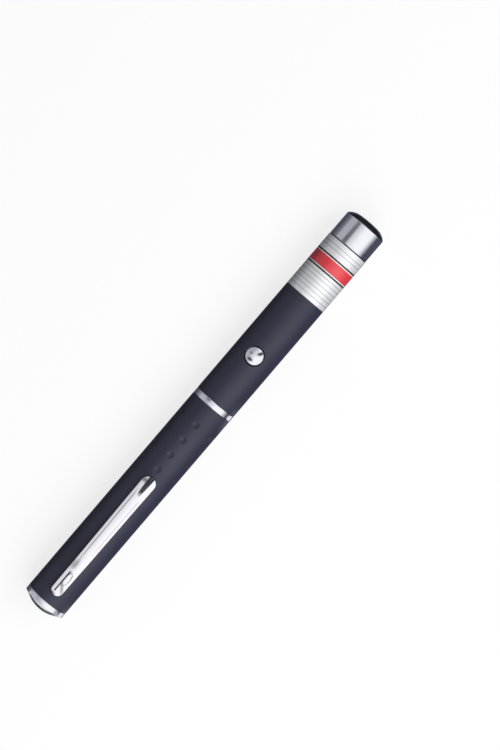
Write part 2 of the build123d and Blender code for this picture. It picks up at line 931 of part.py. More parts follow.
with BuildPart() as chip_resistors:
    with BuildSketch(Plane.XY.offset(board_top)):
        with Locations((button_place + switch_size / 2 + resistor_from_switch, 0)):
            with GridLocations(resistor_pitch, resistor_pitch, 1, 3):
                Rectangle(resistor_length, resistor_width)
    extrude(amount=resistor_height)
save(chip_resistors, "chip_resistors")

with BuildPart() as chip_capacitor:
    with BuildSketch(Plane.XY.offset(board_top)):
        with Locations((button_place + switch_size / 2 + capacitor_from_switch, 0)):
            Rectangle(capacitor_width, capacitor_length)
    extrude(amount=capacitor_height)
save(chip_capacitor, "chip_capacitor")
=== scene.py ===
"""The finish of a pen-shaped laser pointer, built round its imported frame.

Lengths are in metres. The barrel runs along X with the beam leaving at +X, clip and button face up.
"""

import json
from math import acos, atan2, cos, hypot, pi, radians, sin, sqrt

import bmesh
import bpy
from bpy.props import FloatProperty, FloatVectorProperty, IntProperty, PointerProperty
from mathutils import Matrix, Vector


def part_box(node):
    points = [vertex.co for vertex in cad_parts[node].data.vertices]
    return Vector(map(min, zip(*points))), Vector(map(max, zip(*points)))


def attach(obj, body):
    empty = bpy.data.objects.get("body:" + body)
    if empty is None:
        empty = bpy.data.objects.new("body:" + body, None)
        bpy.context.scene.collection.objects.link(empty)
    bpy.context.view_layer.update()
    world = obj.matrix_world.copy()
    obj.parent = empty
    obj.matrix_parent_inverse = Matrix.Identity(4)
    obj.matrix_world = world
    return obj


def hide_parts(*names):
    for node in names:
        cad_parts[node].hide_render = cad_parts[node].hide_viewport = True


bl_info = {
    "name": "Laser Pointer",
    "version": (1, 0, 0),
    "blender": (4, 5, 0),
    "location": "View3D > Sidebar > Pointer",
    "description": "Builds the finished pieces of a pen-shaped laser pointer on its frame",
    "category": "Object",
}

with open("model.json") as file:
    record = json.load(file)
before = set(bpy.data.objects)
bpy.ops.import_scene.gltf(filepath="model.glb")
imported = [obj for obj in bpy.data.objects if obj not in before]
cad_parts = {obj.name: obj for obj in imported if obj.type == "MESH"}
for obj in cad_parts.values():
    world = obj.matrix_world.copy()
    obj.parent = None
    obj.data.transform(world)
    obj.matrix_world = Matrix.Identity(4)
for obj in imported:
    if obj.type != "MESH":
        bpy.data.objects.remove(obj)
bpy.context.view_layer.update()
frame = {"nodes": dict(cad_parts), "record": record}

MM = 0.001

# Places along the barrel, as the frame has them

def ends(node):
    """Where a node starts and ends along the barrel."""
    low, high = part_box(node)
    return low.x, high.x


def half_height(node):
    """Half the height of a node, which is the radius of a round one."""
    low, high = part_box(node)
    return (high.z - low.z) / 2


def half_width(node):
    """Half the width of a node across the barrel."""
    low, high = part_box(node)
    return (high.y - low.y) / 2


REAR_START, RING_START = ends("rear_barrel")
RING_END = ends("mid_ring")[1]
FRONT_START, FRONT_END = ends("front_barrel")
LABEL_START, LABEL_END = ends("label_wrap")
HEAD_START, HEAD_END = ends("head_sleeve")
NOSE_FOOT, TIP = ends("nose_cap")
TAIL_END, PLUG_SEAT = ends("tail_plug")
SKIRT_END = ends("tail_cap")[1]
SLEEVE_START, SLEEVE_END = ends("thread_sleeve")
WEB_END = ends("tail_spring")[0]
CLIP_START, CLIP_END = ends("clip")
WINDOW_FRONT = ends("aperture_window")[1]
BUTTON_PLACE = sum(ends("button_cap")) / 2
BUTTON_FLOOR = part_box("button_cap")[0].z
BUTTON_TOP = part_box("button_cap")[1].z


def length_of(name, description, default):
    """A length that a user may change."""
    return FloatProperty(
        name=name,
        description=description,
        default=default,
        min=0,
        precision=5,
        unit="LENGTH",
        subtype="DISTANCE",
    )


def count_of(name, description, default):
    """A count that a user may change."""
    return IntProperty(name=name, description=description, default=default, min=1)


def level_of(name, description, default):
    """A level of light that a user may change."""
    return FloatProperty(name=name, description=description, default=default, min=0)


def colour_of(name, description, default):
    """A colour that a user may change."""
    return FloatVectorProperty(
        name=name, description=description, default=default, size=3, min=0, max=1, subtype="COLOR"
    )


class PointerSizes(bpy.types.PropertyGroup):
    """Sizes of the turned and pressed pieces"""

    barrel_radius: length_of("Barrel radius", "Outside of both tubes", half_height("rear_barrel"))
    bay_radius: length_of("Bay radius", "Bore that the cells lie in", 5.5 * MM)
    tail_socket_radius: length_of("Tail socket radius", "Bore that the tail's skirt fits into", 6.0 * MM)
    grip_radius: length_of("Grip radius", "Bore that the brass sleeve is pressed into", 6.2 * MM)
    front_bore_radius: length_of("Front bore radius", "Bore of the front tube", 6.05 * MM)
    thread_bore_radius: length_of("Thread bore radius", "Bottom of the thread in the front tube", 6.45 * MM)
    press_gap: length_of("Press gap", "Room between two pressed pieces", 0.02 * MM)
    edge_break: length_of("Edge break", "Bevel on the edges of turned pieces", 0.15 * MM)
    fine_break: length_of("Fine edge break", "Bevel on hidden and thin edges", 0.06 * MM)
    tube_break: length_of("Tube edge break", "Bevel on the ends of the painted tubes", 0.1 * MM)
    dimple_radius: length_of("Dimple radius", "Half the width of a dimple", 1.15 * MM)
    dimple_depth: length_of("Dimple depth", "Depth of a dimple in its middle", 0.4 * MM)
    dimple_pitch: length_of("Dimple pitch", "From one dimple to the next along the barrel", 5.9 * MM)
    dimple_to_ring: length_of("Dimples to ring", "From the last dimple's middle to the ring", 7.0 * MM)
    dimple_count: count_of("Dimples in a row", "Dimples along the barrel", 4)
    dimple_rows: count_of("Dimple rows", "Rows of dimples round the barrel", 6)
    button_radius: length_of("Button radius", "Half the width of the button's dome", 2.8 * MM)
    button_dome: length_of("Button dome", "Height of the button's dome", 0.9 * MM)
    button_flange: length_of("Button flange", "Thickness of the flange that keeps the button in", 0.5 * MM)
    button_hole_radius: length_of("Button hole radius", "Hole in the front tube round the button", 3.2 * MM)
    label_thickness: length_of("Label thickness", "Thickness of the foil label", 0.1 * MM)
    label_seam: length_of("Label seam", "Gap between the two ends of the label, underneath", 0.3 * MM)
    head_radius: length_of("Head radius", "Outside of the chrome head", half_width("head_sleeve"))
    nose_radius: length_of("Nose radius", "Outside of the nose at the head", half_width("nose_cap"))
    nose_crown_radius: length_of("Nose crown", "Ball radius of the nose's crown", 30.0 * MM)
    nose_shoulder_radius: length_of("Nose shoulder", "Where the crown turns into the shoulder", 4.0 * MM)
    aperture_radius: length_of("Aperture radius", "Hole that the beam leaves by", 1.5 * MM)
    aperture_bevel: length_of("Aperture bevel", "Bevel round the hole that the beam leaves by", 0.3 * MM)
    tail_dome_height: length_of("Tail dome height", "How far the tail's rim is domed", 2.3 * MM)
    plug_radius: length_of("Plug radius", "Hole in the tail's rim that the insert fills", 5.3 * MM)
    plug_step: length_of("Plug step", "How far the insert's edge lies inside the rim", 0.1 * MM)
    clip_turn: FloatProperty(
        name="Clip turn",
        description="How far round from the button the clip sits",
        default=radians(4.5),
        subtype="ANGLE",
    )
    clip_root_width: length_of("Clip root width", "Width of the clip at its root", 3.8 * MM)
    clip_end_width: length_of("Clip end width", "Width of the clip at its free end", 4.65 * MM)
    clip_thickness: length_of("Clip thickness", "Thickness of the pressed strip", 0.5 * MM)
    clip_crown: length_of("Clip crown", "How far the strip is arched across", 0.45 * MM)
    clip_root_rise: length_of("Clip root rise", "Room between barrel and clip at its root", 0.3 * MM)
    clip_span_rise: length_of("Clip span rise", "Room between barrel and clip along its middle", 1.05 * MM)
    clip_bead_rise: length_of("Clip bead rise", "Room between barrel and clip at its bead", 0.15 * MM)
    clip_lip_rise: length_of("Clip lip rise", "Room between barrel and clip at its free end", 0.6 * MM)
    clip_flat_length: length_of("Clip flat length", "Length of the clip's flat root", 7.6 * MM)
    clip_ramp_length: length_of("Clip ramp length", "Length over which the clip rises", 8.0 * MM)
    clip_bead_from_end: length_of("Clip bead from end", "From the bead's middle to the free end", 3.6 * MM)
    clip_edge: length_of("Clip edge", "Rounding of the strip's edges", 0.13 * MM)
    clip_leg_setback: length_of("Clip leg setback", "From the clip's root end to its leg", 2.1 * MM)
    clip_leg_width: length_of("Clip leg width", "Width of the leg through the barrel's wall", 3.0 * MM)
    clip_leg_thickness: length_of("Clip leg thickness", "Thickness of the leg", 0.6 * MM)
    clip_foot_length: length_of("Clip foot length", "Length of the leg's foot inside the barrel", 1.6 * MM)
    clip_foot_thickness: length_of("Clip foot thickness", "Thickness of the leg's foot", 0.32 * MM)
    clip_foot_radius: length_of("Clip foot radius", "Underside of the foot, from the barrel's axis", 5.4 * MM)
    slot_gap: length_of("Slot gap", "Room round the clip's leg in its slot", 0.1 * MM)
    foot_gap: length_of("Foot gap", "Room round the clip's foot in the tail's skirt", 0.3 * MM)


class PointerColours(bpy.types.PropertyGroup):
    """Colours of the finishes"""

    paint: colour_of("Barrel paint", "Soft-touch paint of both tubes", (0.026, 0.027, 0.048))
    chrome: colour_of("Chrome", "Plated turned pieces", (0.77, 0.77, 0.80))
    clip: colour_of("Clip", "Plated pressed strip", (0.82, 0.80, 0.82))
    # Painted shade: the dark colour that the clip's line, trough, rim step and slanting band are darkened
    # towards, standing in for shade and dark reflections
    recess_shade: colour_of("Clip recess", "Dull plate in the clip's recesses", (0.1, 0.1, 0.12))
    moulding: colour_of("Black moulding", "Nose, tail insert and switch", (0.008, 0.008, 0.011))
    foil: colour_of("Label foil", "Ground of the label", (0.86, 0.86, 0.88))
    label_black: colour_of("Label black", "Dark band of the label", (0.012, 0.012, 0.018))
    label_red: colour_of("Label red", "Red stripe of the label", (0.76, 0.045, 0.06))
    label_grey: colour_of("Label grey", "Thin rings of the label", (0.52, 0.52, 0.56))
    brass: colour_of("Brass", "Turned brass pieces", (0.80, 0.58, 0.27))
    floor: colour_of("Floor", "Plain studio floor", (0.22, 0.22, 0.22))


# Shader maths: a wire is a node's socket that takes part in sums


class Wire:
    """A node's output that takes part in sums, which add Math nodes."""

    def __init__(self, finish, socket):
        self.finish = finish
        self.socket = socket

    def sum(self, operation, *values):
        """A Math node of an operation on these values."""
        return self.finish.node("ShaderNodeMath", {"operation": operation}, dict(enumerate(values)))

    def size(self):
        """The value without its sign."""
        return self.sum("ABSOLUTE", self)

    def __add__(self, other):
        return self.sum("ADD", self, other)

    def __sub__(self, other):
        return self.sum("SUBTRACT", self, other)

    def __rsub__(self, other):
        return self.sum("SUBTRACT", other, self)

    def __mul__(self, other):
        return self.sum("MULTIPLY", self, other)

    def __truediv__(self, other):
        return self.sum("DIVIDE", self, other)

    def __gt__(self, other):
        return self.sum("GREATER_THAN", self, other)

    def __lt__(self, other):
        return self.sum("LESS_THAN", self, other)

    __radd__ = __add__
    __rmul__ = __mul__


class Nodes:
    """A node tree with one method that adds any node to it."""

    def __init__(self, tree):
        self.tree = tree
        self.tree.nodes.clear()

    def node(self, kind, settings=None, inputs=None, output=0):
        """Adds a node of a kind, sets its settings and then its sockets, and gives one output."""
        node = self.tree.nodes.new(kind)
        for name, value in (settings or {}).items():
            if name == "stops":
                self.set_stops(node.color_ramp.elements, value)
            else:
                setattr(node, name, value)
        for name, value in (inputs or {}).items():
            if isinstance(value, Wire):
                self.tree.links.new(value.socket, node.inputs[name])
            else:
                node.inputs[name].default_value = value
        return Wire(self, node.outputs[output]) if node.outputs else None

    def set_stops(self, elements, stops):
        """Gives a colour ramp its stops, each a place and a colour."""
        while len(elements) < len(stops):
            elements.new(1.0)
        for element, (place, colour) in zip(elements, stops):
            element.position = place
            element.color = (*colour, 1)

    def mix(self, factor, first, second):
        """A colour that goes from the first to the second."""
        first, second = (value if isinstance(value, Wire) else (*value, 1) for value in (first, second))
        return self.node("ShaderNodeMix", {"data_type": "RGBA"}, {0: factor, 6: first, 7: second}, 2)

    def place(self):
        """The point on the piece, in metres."""
        return self.node("ShaderNodeTexCoord", output="Object")

    def axis(self, which):
        """One of the point's three values."""
        return self.node("ShaderNodeSeparateXYZ", inputs={"Vector": self.place()}, output=which)

    def noise(self, size, stretch=(1, 1, 1), detail=2.0):
        """Noise from 0 to 1 whose grains have a size in metres, drawn out by a stretch."""
        scale = [1 / (size * share) for share in stretch]
        place = self.node("ShaderNodeMapping", inputs={"Vector": self.place(), "Scale": scale})
        return self.node("ShaderNodeTexNoise", inputs={"Vector": place, "Scale": 1.0, "Detail": detail})

    def ramp(self, value, low, high):
        """A value made steeper, from 0 at low to 1 at high."""
        return self.node("ShaderNodeMapRange", inputs={"Value": value, "From Min": low, "From Max": high})

    def bump(self, height, depth):
        """A normal from a height between 0 and 1, for a relief of a depth in metres."""
        return self.node("ShaderNodeBump", inputs={"Height": height, "Distance": depth, "Strength": 1.0})


class Finish(Nodes):
    """A material whose surface is one Principled shader."""

    def __init__(self, name):
        self.material = bpy.data.materials.new(name)
        self.material.use_nodes = True
        super().__init__(self.material.node_tree)

    def surface(self, **inputs):
        """Ends the material with a Principled shader of these values."""
        named = {name.replace("_", " "): value for name, value in inputs.items()}
        named = {name: (*value, 1) if isinstance(value, tuple) else value for name, value in named.items()}
        shader = self.node("ShaderNodeBsdfPrincipled", inputs=named)
        self.node("ShaderNodeOutputMaterial", inputs={"Surface": shader})
        return self.material


# Finishes, each for one slot of the record, with the sizes of their grains and patches,
# the ways that their marks are drawn out and the depths of their relief

GRAIN = 0.09 * MM
TURNING = 0.05 * MM
SCRATCH = 0.04 * MM
MOULD_GRAIN = 0.16 * MM
PRINT_GRAIN = 0.12 * MM
RUB = 9 * MM
HAZE = 4 * MM
FLOW = 2.5 * MM
CRINKLE = 2.2 * MM
TARNISH = 1.6 * MM
SMEAR = 1.2 * MM
ROUND_THE_BARREL = (1, 60, 60)
ALONG_THE_STRIP = (90, 1, 1)
PAINT_RELIEF = 0.006 * MM
PLATE_RELIEF = 0.0007 * MM
MOULD_RELIEF = 0.003 * MM
CRINKLE_RELIEF = 0.012 * MM
BRASS_RELIEF = 0.0012 * MM
METAL_RELIEF = 0.001 * MM
# Name of the clip's vertex attribute that carries its painted shade
PAINTED_SHADE_ATTRIBUTE = "sunk"


def toned(colour, share):
    """A colour made darker or lighter by a share."""
    return tuple(value * share for value in colour)


def paint(finish, colours):
    """Soft-touch black paint: a fine grain, with faint rubbed patches."""
    rubbed = finish.ramp(finish.noise(RUB, (2, 1, 1)), 0.35, 0.7)
    grain = finish.noise(GRAIN)
    return finish.surface(
        Base_Color=finish.mix(rubbed, colours.paint, toned(colours.paint, 1.25)),
        Roughness=0.41 - rubbed * 0.05 + grain * 0.05,
        IOR=1.43,
        Normal=finish.bump(grain, PAINT_RELIEF),
    )


def plated(finish, colour, scratches, roughness, sunk=None, recess_shade=None):
    """Chrome plate over fine marks with a size and a stretch, darkened by painted shade towards a shade
    colour where a mask says.
    """
    marks = finish.noise(*scratches)
    haze = finish.ramp(finish.noise(HAZE), 0.35, 0.75)
    plate = finish.mix(haze * 0.35, colour, toned(colour, 0.93))
    return finish.surface(
        # Painted shade mixed into the plate's colour
        Base_Color=finish.mix(sunk, plate, recess_shade) if sunk else plate,
        Metallic=1.0,
        Roughness=roughness + haze * 0.04 + marks * 0.03,
        Normal=finish.bump(marks, PLATE_RELIEF),
    )


def chrome(finish, colours):
    """Turned and plated: marks run round the barrel."""
    return plated(finish, colours.chrome, (TURNING, ROUND_THE_BARREL), 0.13)


def pressed_chrome(finish, colours):
    """Pressed and plated: marks run along the strip, and painted shade darkens its line, trough, rim step and
    a slanting band near the root.
    """
    sunk = finish.node("ShaderNodeAttribute", {"attribute_name": PAINTED_SHADE_ATTRIBUTE}, output="Fac")
    return plated(finish, colours.clip, (SCRATCH, ALONG_THE_STRIP), 0.15, sunk, colours.recess_shade)


def moulding(finish, colours):
    """Black moulded plastic, satin with a faint flow texture."""
    grain = finish.noise(MOULD_GRAIN)
    flow = finish.ramp(finish.noise(FLOW), 0.3, 0.7)
    return finish.surface(
        Base_Color=finish.mix(flow, colours.moulding, toned(colours.moulding, 1.3)),
        Roughness=0.32 + grain * 0.08,
        IOR=1.4,
        Normal=finish.bump(grain, MOULD_RELIEF),
    )


# The label's rings, from its start, as (start, end) in metres
LABEL_BAND = (9.25 * MM, 14.65 * MM)
LABEL_EDGE_LINES = ((9.8 * MM, 10.1 * MM), (13.8 * MM, 14.1 * MM))
LABEL_STRIPE = (10.1 * MM, 13.8 * MM)
THIN_RING = 0.28 * MM
THIN_RINGS = (1.3 * MM, 2.75 * MM, 4.05 * MM, 5.4 * MM, 6.85 * MM, 8.1 * MM, 16.4 * MM, 17.7 * MM)


def foil(finish, colours):
    """Silvery foil with plain printed rings."""
    along = finish.axis("X") - LABEL_START

    def ring(start, end):
        return (along > start) * (along < end)

    print_grain = finish.noise(PRINT_GRAIN)
    crinkle = finish.noise(CRINKLE, (3, 1, 1))
    colour = finish.mix(finish.ramp(crinkle, 0.3, 0.7) * 0.5, colours.foil, toned(colours.foil, 0.94))
    for start in THIN_RINGS:
        colour = finish.mix(ring(start, start + THIN_RING), colour, colours.label_grey)
    colour = finish.mix(ring(*LABEL_BAND), colour, colours.label_black)
    for line in LABEL_EDGE_LINES:
        colour = finish.mix(ring(*line), colour, colours.foil)
    colour = finish.mix(ring(*LABEL_STRIPE), colour, colours.label_red)
    printed = ring(*LABEL_BAND)
    return finish.surface(
        Base_Color=colour,
        Metallic=(1 - printed) * 0.25,
        Roughness=0.3 + print_grain * 0.05 + printed * 0.06,
        Coat_Weight=0.5,
        Coat_Roughness=0.12,
        Normal=finish.bump(crinkle, CRINKLE_RELIEF),
    )


def brass(finish, colours):
    """Turned brass with a slight tarnish."""
    tarnish = finish.ramp(finish.noise(TARNISH), 0.3, 0.8)
    marks = finish.noise(TURNING, ROUND_THE_BARREL)
    return finish.surface(
        Base_Color=finish.mix(tarnish * 0.5, colours.brass, toned(colours.brass, 0.75)),
        Metallic=1.0,
        Roughness=0.26 + tarnish * 0.12 + marks * 0.05,
        Normal=finish.bump(marks, BRASS_RELIEF),
    )


def metal(colour, roughness, grain_size):
    """A finish of bare or tinned metal with a fine grain."""

    def made(finish, colours):
        grain = finish.noise(grain_size)
        return finish.surface(
            Base_Color=finish.mix(grain, colour, toned(colour, 0.82)),
            Metallic=1.0,
            Roughness=roughness + grain * 0.1,
            Normal=finish.bump(grain, METAL_RELIEF),
        )

    return made


def plain(colour, roughness, grain_size, depth):
    """A finish of matte moulding, ceramic or laminate with a fine grain."""

    def made(finish, colours):
        grain = finish.noise(grain_size)
        return finish.surface(
            Base_Color=finish.mix(grain, colour, toned(colour, 0.8)),
            Roughness=roughness + grain * 0.12,
            Normal=finish.bump(grain, depth),
        )

    return made


def glass(finish, colours):
    """Clear polished glass, with faint smears."""
    smears = finish.ramp(finish.noise(SMEAR, (1, 3, 1)), 0.45, 0.8)
    return finish.surface(
        Base_Color=finish.mix(smears, (0.96, 0.98, 0.98), (0.9, 0.93, 0.94)),
        Roughness=0.01 + smears * 0.03,
        IOR=1.5,
        Transmission_Weight=1.0,
    )


FINISHES = {
    "barrel_paint": paint,
    "chrome_plate": chrome,
    "polished_clip": pressed_chrome,
    "black_moulding": moulding,
    "label_foil": foil,
    "turned_brass": brass,
    "clear_glass": glass,
    "diode_can": metal((0.86, 0.66, 0.33), 0.2, 0.1 * MM),
    "tinned_wire": metal((0.7, 0.7, 0.69), 0.26, 0.08 * MM),
    "spring_steel": metal((0.62, 0.62, 0.63), 0.22, 0.06 * MM),
    "board_laminate": plain((0.02, 0.11, 0.04), 0.35, 0.2 * MM, 0.004 * MM),
    "chip_moulding": plain((0.016, 0.016, 0.017), 0.5, 0.08 * MM, 0.003 * MM),
    "capacitor_ceramic": plain((0.42, 0.28, 0.15), 0.5, 0.1 * MM, 0.003 * MM),
    "insulator_moulding": plain((0.68, 0.66, 0.6), 0.45, 0.2 * MM, 0.003 * MM),
    "cell_can": metal((0.66, 0.66, 0.67), 0.3, 0.12 * MM),
    "cell_print": plain((0.03, 0.05, 0.11), 0.3, 0.3 * MM, 0.002 * MM),
}


def finish_of(slot):
    """The material of a slot, made once."""
    name = f"{slot}_finish"
    if name not in bpy.data.materials:
        FINISHES[slot](Finish(name), bpy.context.scene.pointer_colours)
    return bpy.data.materials[name]


# Shapes, made with mesh operators

STEPS_ROUND = 192
SMALL_STEPS_ROUND = 96
SHARP = radians(34)
WELD = 0.0005 * MM
EVEN_WEIGHT = 50


def axis_height():
    """Height of the barrel's axis over what it lies on."""
    return bpy.context.scene.pointer_sizes.barrel_radius


def dome_radius(edge_radius, height):
    """Radius of the ball whose cap has this edge radius and height."""
    return (edge_radius**2 + height**2) / (2 * height)


def dome_depth(ball_radius, radius):
    """How far a dome's surface lies behind its top, at a radius."""
    return ball_radius - sqrt(ball_radius**2 - radius**2)


def shares(count):
    """Evenly spaced shares from 0 to 1."""
    return [step / count for step in range(count + 1)]


def turned(outline, closed=True, steps=STEPS_ROUND, angle=2 * pi, start=0.0):
    """An outline of (place along the barrel, radius), spun round the barrel's axis."""
    shape = bmesh.new()
    centre = Vector((0, 0, axis_height()))
    verts = [shape.verts.new((place, 0, centre.z + radius)) for place, radius in outline]
    pairs = list(zip(verts, verts[1:] + verts[:1])) if closed else list(zip(verts, verts[1:]))
    edges = [shape.edges.new(pair) for pair in pairs]
    bmesh.ops.rotate(shape, verts=verts, cent=centre, matrix=Matrix.Rotation(start, 3, "X"))
    whole = angle == 2 * pi
    bmesh.ops.spin(
        shape, geom=verts + edges, cent=centre, axis=(1, 0, 0), angle=angle, steps=steps, use_merge=whole
    )
    bmesh.ops.remove_doubles(shape, verts=shape.verts, dist=WELD)
    if not whole:
        bmesh.ops.holes_fill(shape, edges=[edge for edge in shape.edges if edge.is_boundary], sides=0)
    bmesh.ops.recalc_face_normals(shape, faces=shape.faces)
    return shape


def stood(shape, place):
    """A turned shape stood upright, its axis through a place along the barrel."""
    bmesh.ops.translate(shape, verts=shape.verts, vec=(0, 0, -axis_height()))
    bmesh.ops.rotate(shape, verts=shape.verts, cent=(0, 0, 0), matrix=Matrix.Rotation(-pi / 2, 3, "Y"))
    bmesh.ops.translate(shape, verts=shape.verts, vec=(place, 0, 0))
    return shape


def block(low, high):
    """A box between two corners."""
    shape = bmesh.new()
    size = Vector(high) - Vector(low)
    middle = Matrix.Translation((Vector(low) + Vector(high)) / 2)
    bmesh.ops.create_cube(shape, size=1.0, matrix=middle @ Matrix.Diagonal((*size, 1)))
    return shape


def swung(shape, turn):
    """A shape swung round the barrel's axis, by a turn towards -Y from the top."""
    centre = Vector((0, 0, axis_height()))
    bmesh.ops.rotate(shape, verts=shape.verts, cent=centre, matrix=Matrix.Rotation(turn, 3, "X"))
    return shape


def radius_of(point):
    """Distance of a point from the barrel's axis."""
    return hypot(point.y, point.z - axis_height())


def beyond(radius):
    """Picks the edges that lie further from the barrel's axis than a radius."""
    return lambda edge: radius_of(edge.verts[0].co) > radius


def band(start, end, outer, inner):
    """The outline of a plain ring between two places and two radii."""
    return [(start, outer), (end, outer), (end, inner), (start, inner)]


def soften(shape, width, chosen=lambda edge: True, segments=3, above=radians(40)):
    """Bevels the sharp edges of a shape that are chosen."""
    manifold = (edge for edge in shape.edges if edge.is_manifold)
    sharp = [edge for edge in manifold if edge.calc_face_angle(0) > above and chosen(edge)]
    bmesh.ops.bevel(
        shape,
        geom=sharp,
        offset=width,
        offset_type="OFFSET",
        affect="EDGES",
        segments=segments,
        profile=0.5,
        material=-1,
        clamp_overlap=True,
    )
    return shape


def carved(shape, cutter):
    """A shape with the room of a cutter taken out of it."""
    pieces = []
    for name, made in (("carved", shape), ("cutter", cutter)):
        mesh = bpy.data.meshes.new(name)
        made.to_mesh(mesh)
        made.free()
        piece = bpy.data.objects.new(name, mesh)
        bpy.context.scene.collection.objects.link(piece)
        pieces.append(piece)
    cut = pieces[0].modifiers.new("cut", "BOOLEAN")
    cut.operation = "DIFFERENCE"
    cut.solver = "EXACT"
    cut.object = pieces[1]
    result = bmesh.new()
    result.from_mesh(pieces[0].evaluated_get(bpy.context.evaluated_depsgraph_get()).to_mesh())
    for piece in pieces:
        mesh = piece.data
        bpy.data.objects.remove(piece)
        bpy.data.meshes.remove(mesh)
    return result


def placed(name, shape, body, slot, *nodes):
    """A finished piece made of a shape, which rides on a body and stands for nodes of the frame."""
    mesh = bpy.data.meshes.new(name)
    shape.to_mesh(mesh)
    shape.free()
    mesh.shade_smooth()
    mesh.set_sharp_from_angle(angle=SHARP)
    mesh.materials.append(finish_of(slot))
    piece = bpy.data.objects.new(name, mesh)
    bpy.context.scene.collection.objects.link(piece)
    even = piece.modifiers.new("even_shading", "WEIGHTED_NORMAL")
    even.keep_sharp = True
    even.weight = EVEN_WEIGHT
    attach(piece, body)
    if nodes:
        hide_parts(*nodes)
    return piece


# Rear half

DIMPLE_GRID = 0.16 * MM
DIMPLE_STEPS = 300
TAIL_RIM_STEPS = 12
TAIL_CROWN_STEPS = 16


def leg_place(sizes):
    """Middle of the clip's leg along the barrel."""
    return CLIP_START + sizes.clip_leg_setback + sizes.clip_leg_thickness / 2


def press_dimples(shape, sizes):
    """Pushes the dimples into the outside of a tube."""
    last = RING_START - sizes.dimple_to_ring
    places = [last - sizes.dimple_pitch * count for count in range(sizes.dimple_count)]
    row_turn = 2 * pi / sizes.dimple_rows
    centre = Vector((0, 0, axis_height()))
    for vert in shape.verts:
        if abs(radius_of(vert.co) - sizes.barrel_radius) > WELD:
            continue
        turn = atan2(vert.co.y, vert.co.z - centre.z)
        off_row = (turn - row_turn * round(turn / row_turn)) * sizes.barrel_radius
        off_place = min((vert.co.x - place for place in places), key=abs)
        reach = hypot(off_row, off_place) / sizes.dimple_radius
        if reach < 1:
            outward = (vert.co - centre) * Vector((0, 1, 1))
            vert.co -= outward.normalized() * sizes.dimple_depth * (1 - reach**2)


class POINTER_OT_rear_tube(bpy.types.Operator):
    """Turn the painted rear tube, press its dimples and cut the clip's slot"""

    bl_idname = "pointer.rear_tube"
    bl_label = "Rear tube"

    def execute(self, context):
        sizes = context.scene.pointer_sizes
        radius = sizes.barrel_radius
        last = RING_START - sizes.dimple_to_ring + sizes.dimple_radius + DIMPLE_GRID
        first = last - sizes.dimple_pitch * (sizes.dimple_count - 1) - 2 * (sizes.dimple_radius + DIMPLE_GRID)
        rings = round((last - first) / DIMPLE_GRID)
        socket_end = SKIRT_END + sizes.press_gap
        outline = [(REAR_START, radius)]
        outline += [(first + (last - first) * share, radius) for share in shares(rings)]
        outline += [
            (RING_START, radius),
            (RING_START, sizes.grip_radius),
            (SLEEVE_START, sizes.grip_radius),
            (SLEEVE_START, sizes.bay_radius),
            (socket_end, sizes.bay_radius),
            (socket_end, sizes.tail_socket_radius),
            (REAR_START, sizes.tail_socket_radius),
        ]
        shape = turned(outline, steps=DIMPLE_STEPS)
        press_dimples(shape, sizes)
        soften(shape, sizes.tube_break, beyond(radius - WELD))
        middle = leg_place(sizes)
        reach = sizes.clip_leg_thickness / 2 + sizes.slot_gap
        across = sizes.clip_leg_width / 2 + sizes.slot_gap
        slot = block(
            (middle - reach, -across, axis_height() + sizes.clip_foot_radius - sizes.slot_gap),
            (middle + reach, across, axis_height() + 2 * radius),
        )
        shape = carved(shape, swung(slot, sizes.clip_turn))
        placed("rear_tube", shape, "rear_half", "barrel_paint", "rear_barrel")
        return {"FINISHED"}


class POINTER_OT_ring(bpy.types.Operator):
    """Turn the chrome ring between the two tubes"""

    bl_idname = "pointer.ring"
    bl_label = "Joint ring"

    def execute(self, context):
        sizes = context.scene.pointer_sizes
        outline = band(RING_START, RING_END, sizes.barrel_radius, sizes.grip_radius)
        shape = soften(turned(outline), sizes.edge_break, beyond(sizes.grip_radius + WELD))
        placed("joint_ring", shape, "rear_half", "chrome_plate", "mid_ring")
        return {"FINISHED"}


class POINTER_OT_tail(bpy.types.Operator):
    """Turn the chrome tail rim with its skirt, and the black insert in it"""

    bl_idname = "pointer.tail"
    bl_label = "Tail"

    def execute(self, context):
        sizes = context.scene.pointer_sizes
        radius = sizes.barrel_radius
        ball = dome_radius(radius, sizes.tail_dome_height)
        rim = [sizes.plug_radius + (radius - sizes.plug_radius) * share for share in shares(TAIL_RIM_STEPS)]
        skirt = sizes.tail_socket_radius - sizes.press_gap
        outline = [(TAIL_END + dome_depth(ball, edge), edge) for edge in rim]
        outline += [
            (REAR_START, radius),
            (REAR_START, skirt),
            (SKIRT_END, skirt),
            (SKIRT_END, sizes.bay_radius),
            (WEB_END, sizes.bay_radius),
            (WEB_END, 0),
            (PLUG_SEAT, 0),
            (PLUG_SEAT, sizes.plug_radius),
        ]
        shape = soften(turned(outline), sizes.fine_break, beyond(sizes.plug_radius - WELD))
        gap = sizes.foot_gap
        across = sizes.clip_leg_width / 2 + gap
        back = leg_place(sizes) + sizes.clip_leg_thickness / 2 - sizes.clip_foot_length - gap
        under = axis_height() + sizes.clip_foot_radius - gap
        foot_room = block((back, -across, under), (SKIRT_END + gap, across, axis_height() + radius * 2))
        shape = carved(shape, swung(foot_room, sizes.clip_turn))
        placed("tail_rim", shape, "rear_half", "chrome_plate", "tail_cap")

        edge = sizes.plug_radius - sizes.press_gap
        height = dome_depth(ball, sizes.plug_radius) + sizes.plug_step
        plug_ball = dome_radius(edge, height)
        rings = [edge * share for share in shares(TAIL_CROWN_STEPS)]
        crown = [(TAIL_END + dome_depth(plug_ball, ring), ring) for ring in rings]
        shape = turned(crown + [(PLUG_SEAT, edge), (PLUG_SEAT, 0)], closed=False)
        soften(shape, sizes.fine_break, segments=2)
        placed("tail_insert", shape, "rear_half", "black_moulding", "tail_plug")
        return {"FINISHED"}


# Clip

